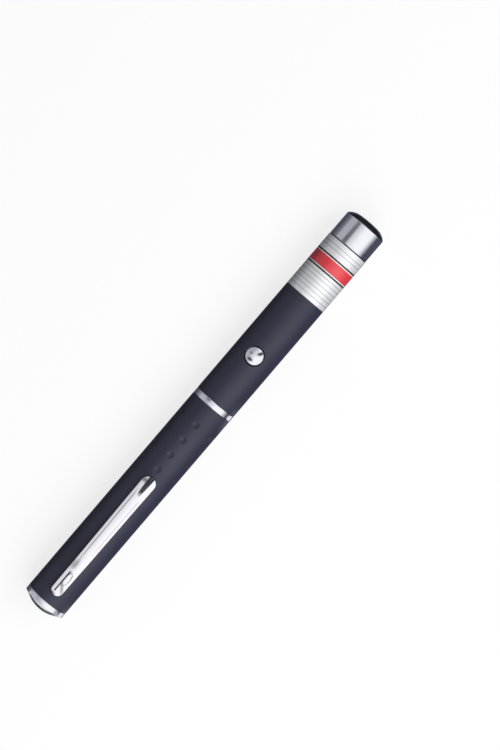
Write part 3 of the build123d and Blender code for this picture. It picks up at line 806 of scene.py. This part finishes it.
# The strip's grid and its arch, then the roll of its root's end
CLIP_ROWS = 340
CLIP_COLUMNS = 64
CLIP_ARCH = 9.0 * MM
STRIP_SHARP = radians(62)
NOSE_ROLL = 1.1 * MM
NOSE_DROP = 0.3 * MM

# The rim: its step towards +Y, its slope towards -Y, and where it fades in from the root
# and out towards the free end
RIM_WIDTH = 0.95 * MM
RIM_STEP = 0.17 * MM
RIM_SLOPE = 0.9 * MM
RIM_DEPTH = 0.27 * MM
RIM_START = (8.5 * MM, 20 * MM)
RIM_END = (4.2 * MM, 9.5 * MM)
# Painted shade along the rim's step on the +Y side
STEP_SHADE = 0.6

# The trough near the free end, with the painted shade in it and a painted highlight streak along its middle
TROUGH_LENGTH = 7.2 * MM
TROUGH_HALF_WIDTH = 0.82 * MM
TROUGH_DEPTH = 0.8 * MM
TROUGH_BULGE = 0.53 * MM
TROUGH_STEEPNESS = 1.35
TROUGH_TAPER = 0.3
TROUGH_FADE = 3
TROUGH_SHADE_ASIDE = 0.3 * MM
TROUGH_SHADE_HALF_WIDTH = 1.25 * TROUGH_HALF_WIDTH
TROUGH_SHADE_STEEPNESS = 2.2
TROUGH_SHADE_TAPER = 0.45
TROUGH_SHADE_FADE = 5
HIGHLIGHT_STREAK_ASIDE = -0.1 * MM
HIGHLIGHT_STREAK_HALF_WIDTH = 0.16 * MM
HIGHLIGHT_STREAK_SHARE = 0.6

# The oval boss near the root, the line beside it with its painted shade, and before it a slanting band of
# painted shade that stands in for a fold, which the mesh does not have
BOSS_LENGTH = 5.4 * MM
BOSS_WIDTH = 1.9 * MM
BOSS_HEIGHT = 0.32 * MM
BOSS_FROM_START = 6.1 * MM
BOSS_ASIDE = -0.15 * MM
BOSS_SLOPE = 2.2
LINE_ENDS = (1.1 * MM, 8.8 * MM)
LINE_ASIDE = 0.68 * MM
LINE_HALF_WIDTH = 0.2 * MM
LINE_DEPTH = 0.24 * MM
# Width and strength of the painted shade in the line
LINE_SHADE_HALF_WIDTH = 0.28 * MM
LINE_SHADE = 1.2
# The slanting band of painted shade: its middle, slope, half width, half length and strength
FOLD_SHADE_MIDDLE = (2.9 * MM, -0.75 * MM)
FOLD_SHADE_SLOPE = 0.62
FOLD_SHADE_HALF_WIDTH = 0.9 * MM
FOLD_SHADE_HALF_LENGTH = 2.2 * MM
FOLD_SHADE_LEVEL = 0.75


def eased(place, start, end):
    """Share of a smooth bend from start to end that is done at a place."""
    share = min(max((place - start) / (end - start), 0), 1)
    return (1 - cos(pi * share)) / 2


def clip_rise(place, sizes):
    """How far the clip stands off the barrel: up from its root, down to its bead, up at its lip."""
    ramp_start = CLIP_START + sizes.clip_flat_length
    ramp_end = ramp_start + sizes.clip_ramp_length
    bead = CLIP_END - sizes.clip_bead_from_end
    up = (sizes.clip_span_rise - sizes.clip_root_rise) * eased(place, ramp_start, ramp_end)
    down = (sizes.clip_span_rise - sizes.clip_bead_rise) * eased(place, ramp_end, bead)
    lip = (sizes.clip_lip_rise - sizes.clip_bead_rise) * eased(place, bead, CLIP_END)
    return sizes.clip_root_rise + up - down + lip


def clip_half_width(place, sizes):
    """Half the clip's width: straight sides that widen a little, between two round ends."""
    root, end = sizes.clip_root_width / 2, sizes.clip_end_width / 2
    from_start, from_end = place - CLIP_START, CLIP_END - place
    if from_start < root:
        return sqrt(max(root**2 - (root - from_start) ** 2, 0))
    if from_end < end:
        return sqrt(max(end**2 - (end - from_end) ** 2, 0))
    share = (from_start - root) / (CLIP_END - CLIP_START - root - end)
    return root + (end - root) * share


def trough(place, across):
    """Depth of the trough near the clip's free end, pointed at its start and open at the end."""
    share = 1 - (CLIP_END - place) / TROUGH_LENGTH
    if share <= 0:
        return 0.0
    reach = abs(across) / (TROUGH_HALF_WIDTH * share**TROUGH_TAPER)
    return TROUGH_DEPTH * max(1 - reach**TROUGH_STEEPNESS, 0) * min(TROUGH_FADE * share, 1)


def line_share(place):
    """How far the pressed line shows at a place, from 0 beyond its ends to 1."""
    start, end = LINE_ENDS
    inside = min(place - CLIP_START - start, CLIP_START + end - place)
    return min(max(inside / LINE_HALF_WIDTH, 0), 1)


def boss(place, across):
    """Height of the oval boss near the clip's root, less the line pressed beside it."""
    along = (place - CLIP_START - BOSS_FROM_START) / (BOSS_LENGTH / 2)
    reach = along**2 + ((across - BOSS_ASIDE) / (BOSS_WIDTH / 2)) ** 2
    line = line_share(place) * max(1 - ((across - LINE_ASIDE) / LINE_HALF_WIDTH) ** 2, 0)
    return BOSS_HEIGHT * min(max(1 - reach, 0) * BOSS_SLOPE, 1) - LINE_DEPTH * line


def rim_place(place, across, sizes):
    """How far inside the rim's step a point lies, and how far the rim shows there."""
    inside = clip_half_width(place, sizes) - abs(across) - RIM_WIDTH
    return inside, eased(place - CLIP_START, *RIM_START) * eased(CLIP_END - place, *RIM_END)


def sunk_rim(place, across, sizes):
    """How far the strip's rim lies under its middle, from behind the root to the trough."""
    inside, along = rim_place(place, across, sizes)
    step = RIM_STEP if across > 0 else RIM_SLOPE
    return RIM_DEPTH * along * (1 - eased(inside, -step / 2, step / 2))


def trough_shade(place, across):
    """How much painted shade lies in the trough, less a painted highlight streak along it."""
    share = 1 - (CLIP_END - place) / TROUGH_LENGTH
    if share <= 0:
        return 0.0
    reach = abs(across - TROUGH_SHADE_ASIDE) / (TROUGH_SHADE_HALF_WIDTH * share**TROUGH_SHADE_TAPER)
    drop = min(max(1 - reach, 0) * TROUGH_SHADE_STEEPNESS, 1) * min(TROUGH_SHADE_FADE * share, 1)
    return drop - max(1 - abs(across - HIGHLIGHT_STREAK_ASIDE) / HIGHLIGHT_STREAK_HALF_WIDTH, 0) * HIGHLIGHT_STREAK_SHARE


def fold_shade(place, across):
    """How much painted shade lies in the slanting band near the root, which stands in for a fold."""
    along, aside = place - CLIP_START - FOLD_SHADE_MIDDLE[0], across - FOLD_SHADE_MIDDLE[1]
    off, on = aside - along * FOLD_SHADE_SLOPE, along / FOLD_SHADE_HALF_LENGTH
    return max(1 - abs(off) / FOLD_SHADE_HALF_WIDTH, 0) * max(1 - on * on, 0) * FOLD_SHADE_LEVEL


def painted_clip_shade(place, across, sizes):
    """How much painted shade the clip's plate gets, from 0 to 1: in the line, the trough, the slanting band
    and the rim's step.
    """
    line = line_share(place) * max(LINE_SHADE - abs(across - LINE_ASIDE) / LINE_SHADE_HALF_WIDTH, 0)
    inside, along = rim_place(place, across, sizes)
    step = max(1 - abs(inside) / RIM_STEP, 0) * STEP_SHADE * along if across > 0 else 0
    return min(max(line, trough_shade(place, across), fold_shade(place, across), step), 1)


class POINTER_OT_clip(bpy.types.Operator):
    """Press the clip from a strip, with its arch, rim, boss, trough and rounded edges"""

    bl_idname = "pointer.clip"
    bl_label = "Clip"

    def execute(self, context):
        sizes = context.scene.pointer_sizes
        shape = bmesh.new()
        sunk = shape.verts.layers.float.new(PAINTED_SHADE_ATTRIBUTE)
        bmesh.ops.create_grid(shape, x_segments=CLIP_ROWS, y_segments=CLIP_COLUMNS, size=1.0)
        for vert in shape.verts:
            place = CLIP_START + (CLIP_END - CLIP_START) * (1 - cos(pi * (vert.co.x + 1) / 2)) / 2
            across = vert.co.y * clip_half_width(place, sizes)
            ridge = sizes.barrel_radius + clip_rise(place, sizes) + sizes.clip_thickness + sizes.clip_crown
            nose = NOSE_DROP * (1 - eased(place, CLIP_START - NOSE_ROLL, CLIP_START + NOSE_ROLL))
            height = ridge - dome_depth(CLIP_ARCH, across) - sunk_rim(place, across, sizes) - nose
            height += boss(place, across) - trough(place, across)
            # Each vertex carries its painted shade, which the clip's finish mixes into its colour
            vert[sunk] = painted_clip_shade(place, across, sizes)
            vert.co = (place, across, axis_height() + height)
        bmesh.ops.remove_doubles(shape, verts=shape.verts, dist=WELD)
        under = bmesh.ops.extrude_face_region(shape, geom=shape.faces)["geom"]
        under = [part for part in under if isinstance(part, bmesh.types.BMVert)]
        bmesh.ops.translate(shape, verts=under, vec=(0, 0, -sizes.clip_thickness))
        for vert in under:
            vert.co.z += max(trough(vert.co.x, vert.co.y) - TROUGH_BULGE, 0)
        bmesh.ops.recalc_face_normals(shape, faces=shape.faces)
        soften(shape, sizes.clip_edge, above=STRIP_SHARP)
        placed("clip_strip", swung(shape, sizes.clip_turn), "clip", "polished_clip", "clip")

        middle = leg_place(sizes)
        half = sizes.clip_leg_thickness / 2
        across = sizes.clip_leg_width / 2
        under = axis_height() + sizes.clip_foot_radius
        top = axis_height() + sizes.barrel_radius + sizes.clip_root_rise + sizes.clip_crown
        leg = block((middle - half, -across, under + sizes.clip_foot_thickness), (middle + half, across, top))
        bottom = min(leg.faces, key=lambda face: face.calc_center_median().z)
        down = bmesh.ops.extrude_discrete_faces(leg, faces=[bottom])["faces"]
        bmesh.ops.translate(leg, verts=down[0].verts, vec=(0, 0, -sizes.clip_foot_thickness))
        back = min(
            (face for face in leg.faces if face.calc_center_median().z < under + sizes.clip_foot_thickness),
            key=lambda face: face.calc_center_median().x,
        )
        foot = bmesh.ops.extrude_discrete_faces(leg, faces=[back])["faces"]
        bmesh.ops.translate(leg, verts=foot[0].verts, vec=(2 * half - sizes.clip_foot_length, 0, 0))
        bmesh.ops.recalc_face_normals(leg, faces=leg.faces)
        soften(leg, sizes.fine_break)
        placed("clip_foot", swung(leg, sizes.clip_turn), "clip", "polished_clip")
        return {"FINISHED"}


# Front half

THREAD_ROOM = 1.7 * MM
NOSE_CROWN_STEPS = 10
NOSE_SHOULDER_STEPS = 12
BUTTON_STEPS = 20
BUTTON_SHARP = radians(30)


class POINTER_OT_front_tube(bpy.types.Operator):
    """Turn the painted front tube and cut the button's hole"""

    bl_idname = "pointer.front_tube"
    bl_label = "Front tube"

    def execute(self, context):
        sizes = context.scene.pointer_sizes
        radius = sizes.barrel_radius
        seat = radius - sizes.label_thickness - sizes.press_gap
        thread_end = SLEEVE_END + THREAD_ROOM
        outline = [
            (FRONT_START, radius),
            (LABEL_START, radius),
            (LABEL_START, seat),
            (FRONT_END, seat),
            (FRONT_END, sizes.front_bore_radius),
            (thread_end, sizes.front_bore_radius),
            (thread_end, sizes.thread_bore_radius),
            (FRONT_START, sizes.thread_bore_radius),
        ]
        shape = soften(turned(outline), sizes.tube_break, beyond(radius - WELD))
        low, high, hole = axis_height(), 3 * radius, sizes.button_hole_radius
        outline = [(low, 0), (low, hole), (high, hole), (high, 0)]
        drill = turned(outline, closed=False, steps=SMALL_STEPS_ROUND)
        shape = carved(shape, stood(drill, BUTTON_PLACE))
        placed("front_tube", shape, "front_half", "barrel_paint", "front_barrel")
        return {"FINISHED"}


class POINTER_OT_label(bpy.types.Operator):
    """Wrap the foil label round the front tube, its two ends meeting underneath"""

    bl_idname = "pointer.label"
    bl_label = "Label"

    def execute(self, context):
        sizes = context.scene.pointer_sizes
        seam = sizes.label_seam / sizes.barrel_radius
        radius = sizes.barrel_radius
        outline = band(LABEL_START, LABEL_END, radius, radius - sizes.label_thickness)
        shape = turned(outline, angle=2 * pi - seam, start=pi + seam / 2)
        soften(shape, sizes.label_thickness / 4, segments=2)
        placed("foil_label", shape, "front_half", "label_foil", "label_wrap")
        return {"FINISHED"}


class POINTER_OT_head(bpy.types.Operator):
    """Turn the chrome head and the black nose with the beam's hole"""

    bl_idname = "pointer.head"
    bl_label = "Head and nose"

    def execute(self, context):
        sizes = context.scene.pointer_sizes
        outline = band(HEAD_START, HEAD_END, sizes.head_radius, sizes.front_bore_radius)
        shape = soften(turned(outline), sizes.edge_break, beyond(sizes.front_bore_radius + WELD))
        placed("head_tube", shape, "front_half", "chrome_plate", "head_sleeve")

        hole_edge = sizes.aperture_radius + sizes.aperture_bevel
        ball = sizes.nose_crown_radius
        crown_top = TIP + dome_depth(ball, hole_edge)
        width = sizes.nose_shoulder_radius - hole_edge
        rings = [hole_edge + width * share for share in shares(NOSE_CROWN_STEPS)]
        crown = [(crown_top - dome_depth(ball, radius), radius) for radius in rings]
        spigot = sizes.front_bore_radius - sizes.press_gap
        window = half_width("aperture_window") + sizes.press_gap
        foot = (HEAD_END, sizes.nose_radius)
        outline = crown + tangent_arc(crown[-1], ball, crown_top, foot, NOSE_SHOULDER_STEPS)
        outline += [
            (HEAD_END, spigot),
            (NOSE_FOOT, spigot),
            (NOSE_FOOT, window),
            (WINDOW_FRONT, window),
            (WINDOW_FRONT, sizes.aperture_radius),
            (TIP - sizes.aperture_bevel, sizes.aperture_radius),
        ]
        shape = soften(turned(outline), sizes.fine_break, segments=2)
        placed("nose_dome", shape, "front_half", "black_moulding", "nose_cap")
        return {"FINISHED"}


def tangent_arc(start, ball_radius, ball_top, end, count):
    """Points of the arc that leaves a dome smoothly at a start point and reaches an end point."""
    first, last = Vector(start), Vector(end)
    inward = (Vector((ball_top - ball_radius, 0)) - first).normalized()
    chord = last - first
    radius = chord.length_squared / (2 * inward.dot(chord))
    centre = first + inward * radius
    arm, end_arm = first - centre, last - centre
    swing = acos(min(max(arm.dot(end_arm) / radius**2, -1), 1))
    sense = 1 if arm.cross(end_arm) > 0 else -1
    points = [centre + Matrix.Rotation(sense * swing * share, 2) @ arm for share in shares(count)]
    return [tuple(point) for point in points[1:]]


class POINTER_OT_button(bpy.types.Operator):
    """Turn the chrome button with its dome and its flange"""

    bl_idname = "pointer.button"
    bl_label = "Button"

    def execute(self, context):
        sizes = context.scene.pointer_sizes
        ball = dome_radius(sizes.button_radius, sizes.button_dome)
        rings = [sizes.button_radius * share for share in shares(BUTTON_STEPS)]
        dome = [(BUTTON_TOP - dome_depth(ball, ring), ring) for ring in rings]
        step, rim = BUTTON_FLOOR + sizes.button_flange, half_width("button_cap")
        outline = dome + [(step, sizes.button_radius), (step, rim), (BUTTON_FLOOR, rim), (BUTTON_FLOOR, 0)]
        shape = turned(outline, closed=False, steps=SMALL_STEPS_ROUND)
        soften(shape, sizes.edge_break, above=BUTTON_SHARP)
        placed("button_dome", stood(shape, BUTTON_PLACE), "button", "chrome_plate", "button_cap")
        return {"FINISHED"}


class POINTER_OT_inner_pieces(bpy.types.Operator):
    """Give every piece that the frame keeps its finish"""

    bl_idname = "pointer.inner_pieces"
    bl_label = "Finish of the inner pieces"

    def execute(self, context):
        slots = {part["node"]: part["material_slot"] for part in frame["record"]["subparts"]}
        for name, node in frame["nodes"].items():
            node.data.materials.clear()
            node.data.materials.append(finish_of(slots[name]))
        return {"FINISHED"}


# Stage

FLOOR_RADIUS = 4.0
FLOOR_STEPS = 96
WHITE = (1, 1, 1, 1)
FLOOR_FADE = (0.25, 0.9)
TENT_RADIUS = 0.75
TENT_HALF_LENGTH = 1.6
TENT_STEPS = 60
TENT_CHANGE = (-0.15, 0.2)
BOARD_HALF_LENGTH = 1.5
BOARD_HALF_WIDTH = 0.74
BOARD_LIFT = 0.3 * MM
BOARD_END_GAP = 4 * MM
BOARD_TAIL_END = 14 * MM
BOARD_LEFT_GAP = 9 * MM
BOARD_RIGHT_GAPS = (8.5 * MM, 8 * MM)
BOARD_CHANGE = (20 * MM, 60 * MM)
BOARD_DARKER_AT_TIP = 0.5
CARDS = ((3.2 * MM, 3.6 * MM), (-80 * MM, 6.5 * MM))
CARD_ACROSS = (-12 * MM, -40 * MM)
KEY_DISTANCE = 0.75
KEY_TURN = radians(38)
KEY_WIDTH = 0.62
KEY_LENGTH = 1.6
WATTS_PER_LEVEL = 4.0

# How bright the tent is round the barrel: degrees from overhead towards -Y,
# and the levels there at the tail and at the tip
TENT_LEVELS = (
    (-100, 0.05, 0.05),
    (-90, 0.42, 0.34),
    (-80, 0.6, 0.48),
    (-60, 0.62, 0.52),
    (-44, 0.54, 0.48),
    (-30, 0.58, 0.52),
    (-16, 0.84, 0.78),
    (0, 1.02, 0.96),
    (12, 1.22, 1.14),
    (30, 1.28, 1.22),
    (54, 1.27, 1.2),
    (64, 1.16, 1.08),
    (74, 0.76, 0.74),
    (84, 0.4, 0.4),
    (92, 0.14, 0.14),
)

# Dark things that show in the tent: place along the barrel, degrees, half length,
# half degrees, and the degrees that they lean by in a metre
TENT_SHADOWS = (
    (0.06, -34, 0.055, 14, 0),
    (-0.6, -14, 0.26, 28, 0),
    (0.75, 36, 0.54, 20, 44),
)
SHADOW_EDGE = (1.3, 0.5)

# The photograph's frame and the pen in it, in its pixels
PHOTO_SIZE = (500, 750)
PEN_MIDDLE_PIXEL = (203.51, 416.0)
PEN_LENGTH_PIXELS = 509.26
PEN_LEAN = radians(40.55)
CAMERA_DISTANCE = 0.755
CAMERA_OVER = 50.37 * MM
SENSOR_HEIGHT = 36.0
NEAREST = 0.01


class StudioSettings(bpy.types.PropertyGroup):
    """Levels of the studio's light"""

    key: level_of("Key", "Brightness of the softbox's face", 2.1)
    room: level_of("Room", "Brightness of the room's soft light", 0.25)
    floor_lift: level_of("Floor lift", "Light of its own that the floor shows", 0.79)
    shade_tint: colour_of("Shade tint", "Tint of the tent where it is dark", (0.8, 0.84, 1.0))
    light_tint: colour_of("Light tint", "Tint of the tent where it is bright", (0.97, 0.98, 1.0))
    shadow: colour_of("Tent's gaps", "What the tent's gaps show", (0.02, 0.022, 0.03))
    board: colour_of("Dark board", "Board round the pen that metal mirrors", (0.08, 0.085, 0.12))
    pale_board: colour_of("Pale board", "The board's left side, further off", (0.28, 0.29, 0.34))


def plain_object(name, shape, material):
    """A stage object made of a shape."""
    mesh = bpy.data.meshes.new(name)
    shape.to_mesh(mesh)
    shape.free()
    mesh.materials.append(material)
    stage = bpy.data.objects.new(name, mesh)
    bpy.context.scene.collection.objects.link(stage)
    return stage


def only_mirrored(stage):
    """Makes a stage object show in gloss alone."""
    stage.visible_camera = False
    stage.visible_diffuse = False
    stage.visible_transmission = False
    stage.visible_shadow = False


def seen(nodes):
    """1 for a ray that the eye sees by: straight, mirrored, or through glass."""
    straight = nodes.node("ShaderNodeLightPath", output="Is Camera Ray")
    mirrored = nodes.node("ShaderNodeLightPath", output="Is Glossy Ray")
    through = nodes.node("ShaderNodeLightPath", output="Is Transmission Ray")
    return nodes.node("ShaderNodeClamp", inputs={"Value": straight + mirrored + through})


def floor_material(colours, studio):
    """Floor that looks white, keeps the pen's shadow and fades into the white room."""
    floor = Finish("floor_finish")
    eye = seen(floor)
    light = floor.node("ShaderNodeBsdfDiffuse", inputs={"Color": (*colours.floor, 1)})
    lifted = eye * studio.floor_lift
    lift = floor.node("ShaderNodeEmission", inputs={"Color": WHITE, "Strength": lifted})
    lit = floor.node("ShaderNodeAddShader", inputs={0: light, 1: lift})
    white = floor.node("ShaderNodeEmission", inputs={"Color": WHITE, "Strength": eye})
    reach = floor.node("ShaderNodeVectorMath", {"operation": "LENGTH"}, {0: floor.place()}, "Value")
    shader = floor.node("ShaderNodeMixShader", inputs={0: floor.ramp(reach, *FLOOR_FADE), 1: lit, 2: white})
    floor.node("ShaderNodeOutputMaterial", inputs={"Surface": shader})
    return floor.material


def glowing(name, colour):
    """A material that only shines, with a colour or a wire."""
    finish = Finish(name)
    glow = finish.node("ShaderNodeEmission", inputs={"Color": colour(finish), "Strength": 1.0})
    finish.node("ShaderNodeOutputMaterial", inputs={"Surface": glow})
    return finish.material


def tent_colour(studio):
    """The tent's light by the angle round the barrel and the place along it, with its dark things."""

    def made(finish):
        low, high = radians(TENT_LEVELS[0][0]), radians(TENT_LEVELS[-1][0])
        aside = 0 - finish.axis("Y")
        along = finish.axis("X")
        angle = aside.sum("ARCTAN2", aside, finish.axis("Z") - axis_height())

        def cloth(column):
            stops = []
            for levels in TENT_LEVELS:
                share = min(levels[column], 1)
                tints = zip(studio.shade_tint, studio.light_tint)
                tint = [dark + (light - dark) * share for dark, light in tints]
                place = (radians(levels[0]) - low) / (high - low)
                stops.append((place, [levels[column] * value for value in tint]))
            return finish.node("ShaderNodeValToRGB", {"stops": stops}, {"Fac": finish.ramp(angle, low, high)})

        colour = finish.mix(finish.ramp(along, *TENT_CHANGE), cloth(1), cloth(2))
        for place, turn, half_length, half_turn, slope in TENT_SHADOWS:
            off = (along - place) / half_length
            turned_off = (angle - radians(turn) - (along - place) * radians(slope)) / radians(half_turn)
            shadow = finish.ramp(off * off + turned_off * turned_off, *SHADOW_EDGE)
            colour = finish.mix(shadow, colour, studio.shadow)
        return colour

    return made


def board_colour(studio):
    """The board's tone: dark beside the pen, paler further off on its left, away from the tip."""

    def made(finish):
        tipwards = finish.ramp(finish.axis("X"), *BOARD_CHANGE) * BOARD_DARKER_AT_TIP
        paler = finish.ramp(finish.axis("Y"), *BOARD_CHANGE) * (1 - tipwards)
        return finish.mix(paler, studio.board, studio.pale_board)

    return made


def tent():
    """Half a tube of cloth over the pen, lying along it."""
    shape = bmesh.new()
    ends_of = [shape.verts.new((place, 0, TENT_RADIUS)) for place in (-TENT_HALF_LENGTH, TENT_HALF_LENGTH)]
    edge = shape.edges.new(ends_of)
    bmesh.ops.rotate(shape, verts=ends_of, cent=(0, 0, 0), matrix=Matrix.Rotation(-pi / 2, 3, "X"))
    bmesh.ops.spin(shape, geom=[*ends_of, edge], cent=(0, 0, 0), axis=(1, 0, 0), angle=pi, steps=TENT_STEPS)
    bmesh.ops.translate(shape, verts=shape.verts, vec=(0, 0, BOARD_LIFT))
    return shape


def dark_board():
    """A board on the floor with a gap in its middle for the pen."""
    shape = bmesh.new()
    bmesh.ops.create_grid(shape, x_segments=3, y_segments=3, size=1.0)
    across = (-BOARD_HALF_WIDTH, -BOARD_RIGHT_GAPS[0], BOARD_LEFT_GAP, BOARD_HALF_WIDTH)
    along = (TAIL_END - BOARD_TAIL_END, TAIL_END - BOARD_END_GAP, TIP + BOARD_END_GAP, BOARD_HALF_LENGTH)
    for vert in shape.verts:
        column, row = (round((value + 1) * 1.5) for value in vert.co.xy)
        vert.co = (along[column], across[row], BOARD_LIFT)
        if (column, row) == (2, 1):
            vert.co.y = -BOARD_RIGHT_GAPS[1]
    middle = [face for face in shape.faces if face.calc_center_median().length < BOARD_LEFT_GAP]
    bmesh.ops.delete(shape, geom=middle, context="FACES")
    return shape


def card(place, half_length):
    """A white card on the board, which the pen's chrome mirrors along its lower right edge."""
    shape = bmesh.new()
    bmesh.ops.create_grid(shape, x_segments=1, y_segments=1, size=1.0)
    near, far = CARD_ACROSS
    for vert in shape.verts:
        across = near if vert.co.y > 0 else far
        vert.co = (place + vert.co.x * half_length, across, 2 * BOARD_LIFT)
    return shape


def set_world(studio):
    """White where it is seen, and a soft even light elsewhere."""
    world = bpy.data.worlds.new("studio")
    world.use_nodes = True
    bpy.context.scene.world = world
    nodes = Nodes(world.node_tree)
    room = nodes.node("ShaderNodeBackground", inputs={"Color": WHITE, "Strength": studio.room})
    white = nodes.node("ShaderNodeBackground", inputs={"Color": WHITE, "Strength": 1.0})
    shader = nodes.node("ShaderNodeMixShader", inputs={0: seen(nodes), 1: room, 2: white})
    nodes.node("ShaderNodeOutputWorld", inputs={"Surface": shader})


def set_camera(context):
    """Puts the camera where the photograph was taken from."""
    length = TIP - TAIL_END
    pixel = length / PEN_LENGTH_PIXELS
    along = Vector((sin(PEN_LEAN), -cos(PEN_LEAN)))
    aside = Vector((cos(PEN_LEAN), sin(PEN_LEAN)))
    offset = Vector(PHOTO_SIZE) / 2 - Vector(PEN_MIDDLE_PIXEL)
    aim = Vector((offset.dot(along) * pixel, -offset.dot(aside) * pixel, axis_height()))
    eye = Vector((CAMERA_OVER, aim.y, axis_height() + CAMERA_DISTANCE))
    back = (eye - aim).normalized()
    right = Vector((sin(PEN_LEAN), -cos(PEN_LEAN), 0))
    right = (right - back * right.dot(back)).normalized()
    up = back.cross(right)
    data = bpy.data.cameras.new("camera")
    data.sensor_fit = "VERTICAL"
    data.sensor_height = SENSOR_HEIGHT
    data.lens = data.sensor_height * (eye - aim).length / (pixel * PHOTO_SIZE[1])
    data.clip_start = NEAREST
    camera = bpy.data.objects.new("camera", data)
    camera.matrix_world = Matrix((right, up, back)).transposed().to_4x4()
    camera.location = eye
    context.scene.collection.objects.link(camera)
    context.scene.camera = camera


class POINTER_OT_stage(bpy.types.Operator):
    """Set up the floor, the soft light and the camera"""

    bl_idname = "pointer.stage"
    bl_label = "Stage"

    def execute(self, context):
        colours, studio = context.scene.pointer_colours, context.scene.pointer_studio
        disc = bmesh.new()
        bmesh.ops.create_circle(disc, cap_ends=True, radius=FLOOR_RADIUS, segments=FLOOR_STEPS)
        plain_object("floor", disc, floor_material(colours, studio))
        only_mirrored(plain_object("tent", tent(), glowing("tent_finish", tent_colour(studio))))
        only_mirrored(plain_object("dark_board", dark_board(), glowing("board_finish", board_colour(studio))))
        card_finish = glowing("card_finish", lambda finish: (*studio.light_tint, 1))
        for count, (place, half_length) in enumerate(CARDS):
            only_mirrored(plain_object(f"card_{count}", card(place, half_length), card_finish))

        lamp = bpy.data.lights.new("key", "AREA")
        lamp.shape = "RECTANGLE"
        lamp.size = KEY_LENGTH
        lamp.size_y = KEY_WIDTH
        lamp.energy = studio.key * WATTS_PER_LEVEL * KEY_LENGTH * KEY_WIDTH
        key = bpy.data.objects.new("key", lamp)
        reach = Vector((0, -sin(KEY_TURN), cos(KEY_TURN))) * KEY_DISTANCE
        key.location = reach + Vector((0, 0, axis_height()))
        key.rotation_euler = (KEY_TURN, 0, 0)
        key.visible_glossy = False
        context.scene.collection.objects.link(key)
        set_world(studio)
        set_camera(context)
        context.scene.view_settings.view_transform = "Standard"
        return {"FINISHED"}


OPERATORS = (
    POINTER_OT_stage,
    POINTER_OT_inner_pieces,
    POINTER_OT_rear_tube,
    POINTER_OT_ring,
    POINTER_OT_tail,
    POINTER_OT_clip,
    POINTER_OT_front_tube,
    POINTER_OT_label,
    POINTER_OT_head,
    POINTER_OT_button,
)


class POINTER_PT_panel(bpy.types.Panel):
    """Lists the pieces, their sizes and their colours"""

    bl_idname = "POINTER_PT_panel"
    bl_label = "Laser pointer"
    bl_space_type = "VIEW_3D"
    bl_region_type = "UI"
    bl_category = "Pointer"

    def draw(self, context):
        for operator in OPERATORS:
            self.layout.operator(operator.bl_idname)
        for group, settings in SETTINGS.items():
            box = self.layout.box()
            for name in settings.__annotations__:
                box.prop(getattr(context.scene, group), name)


SETTINGS = {
    "pointer_sizes": PointerSizes,
    "pointer_colours": PointerColours,
    "pointer_studio": StudioSettings,
}
CLASSES = (*SETTINGS.values(), *OPERATORS, POINTER_PT_panel)


def register():
    for cls in CLASSES:
        bpy.utils.register_class(cls)
    for name, group in SETTINGS.items():
        setattr(bpy.types.Scene, name, PointerProperty(type=group))


def unregister():
    for name in SETTINGS:
        delattr(bpy.types.Scene, name)
    for cls in reversed(CLASSES):
        bpy.utils.unregister_class(cls)


def main():
    """Builds every piece in order."""
    register()
    for operator in OPERATORS:
        group, name = operator.bl_idname.split(".")
        getattr(getattr(bpy.ops, group), name)()


if __name__ == "__main__":
    main()
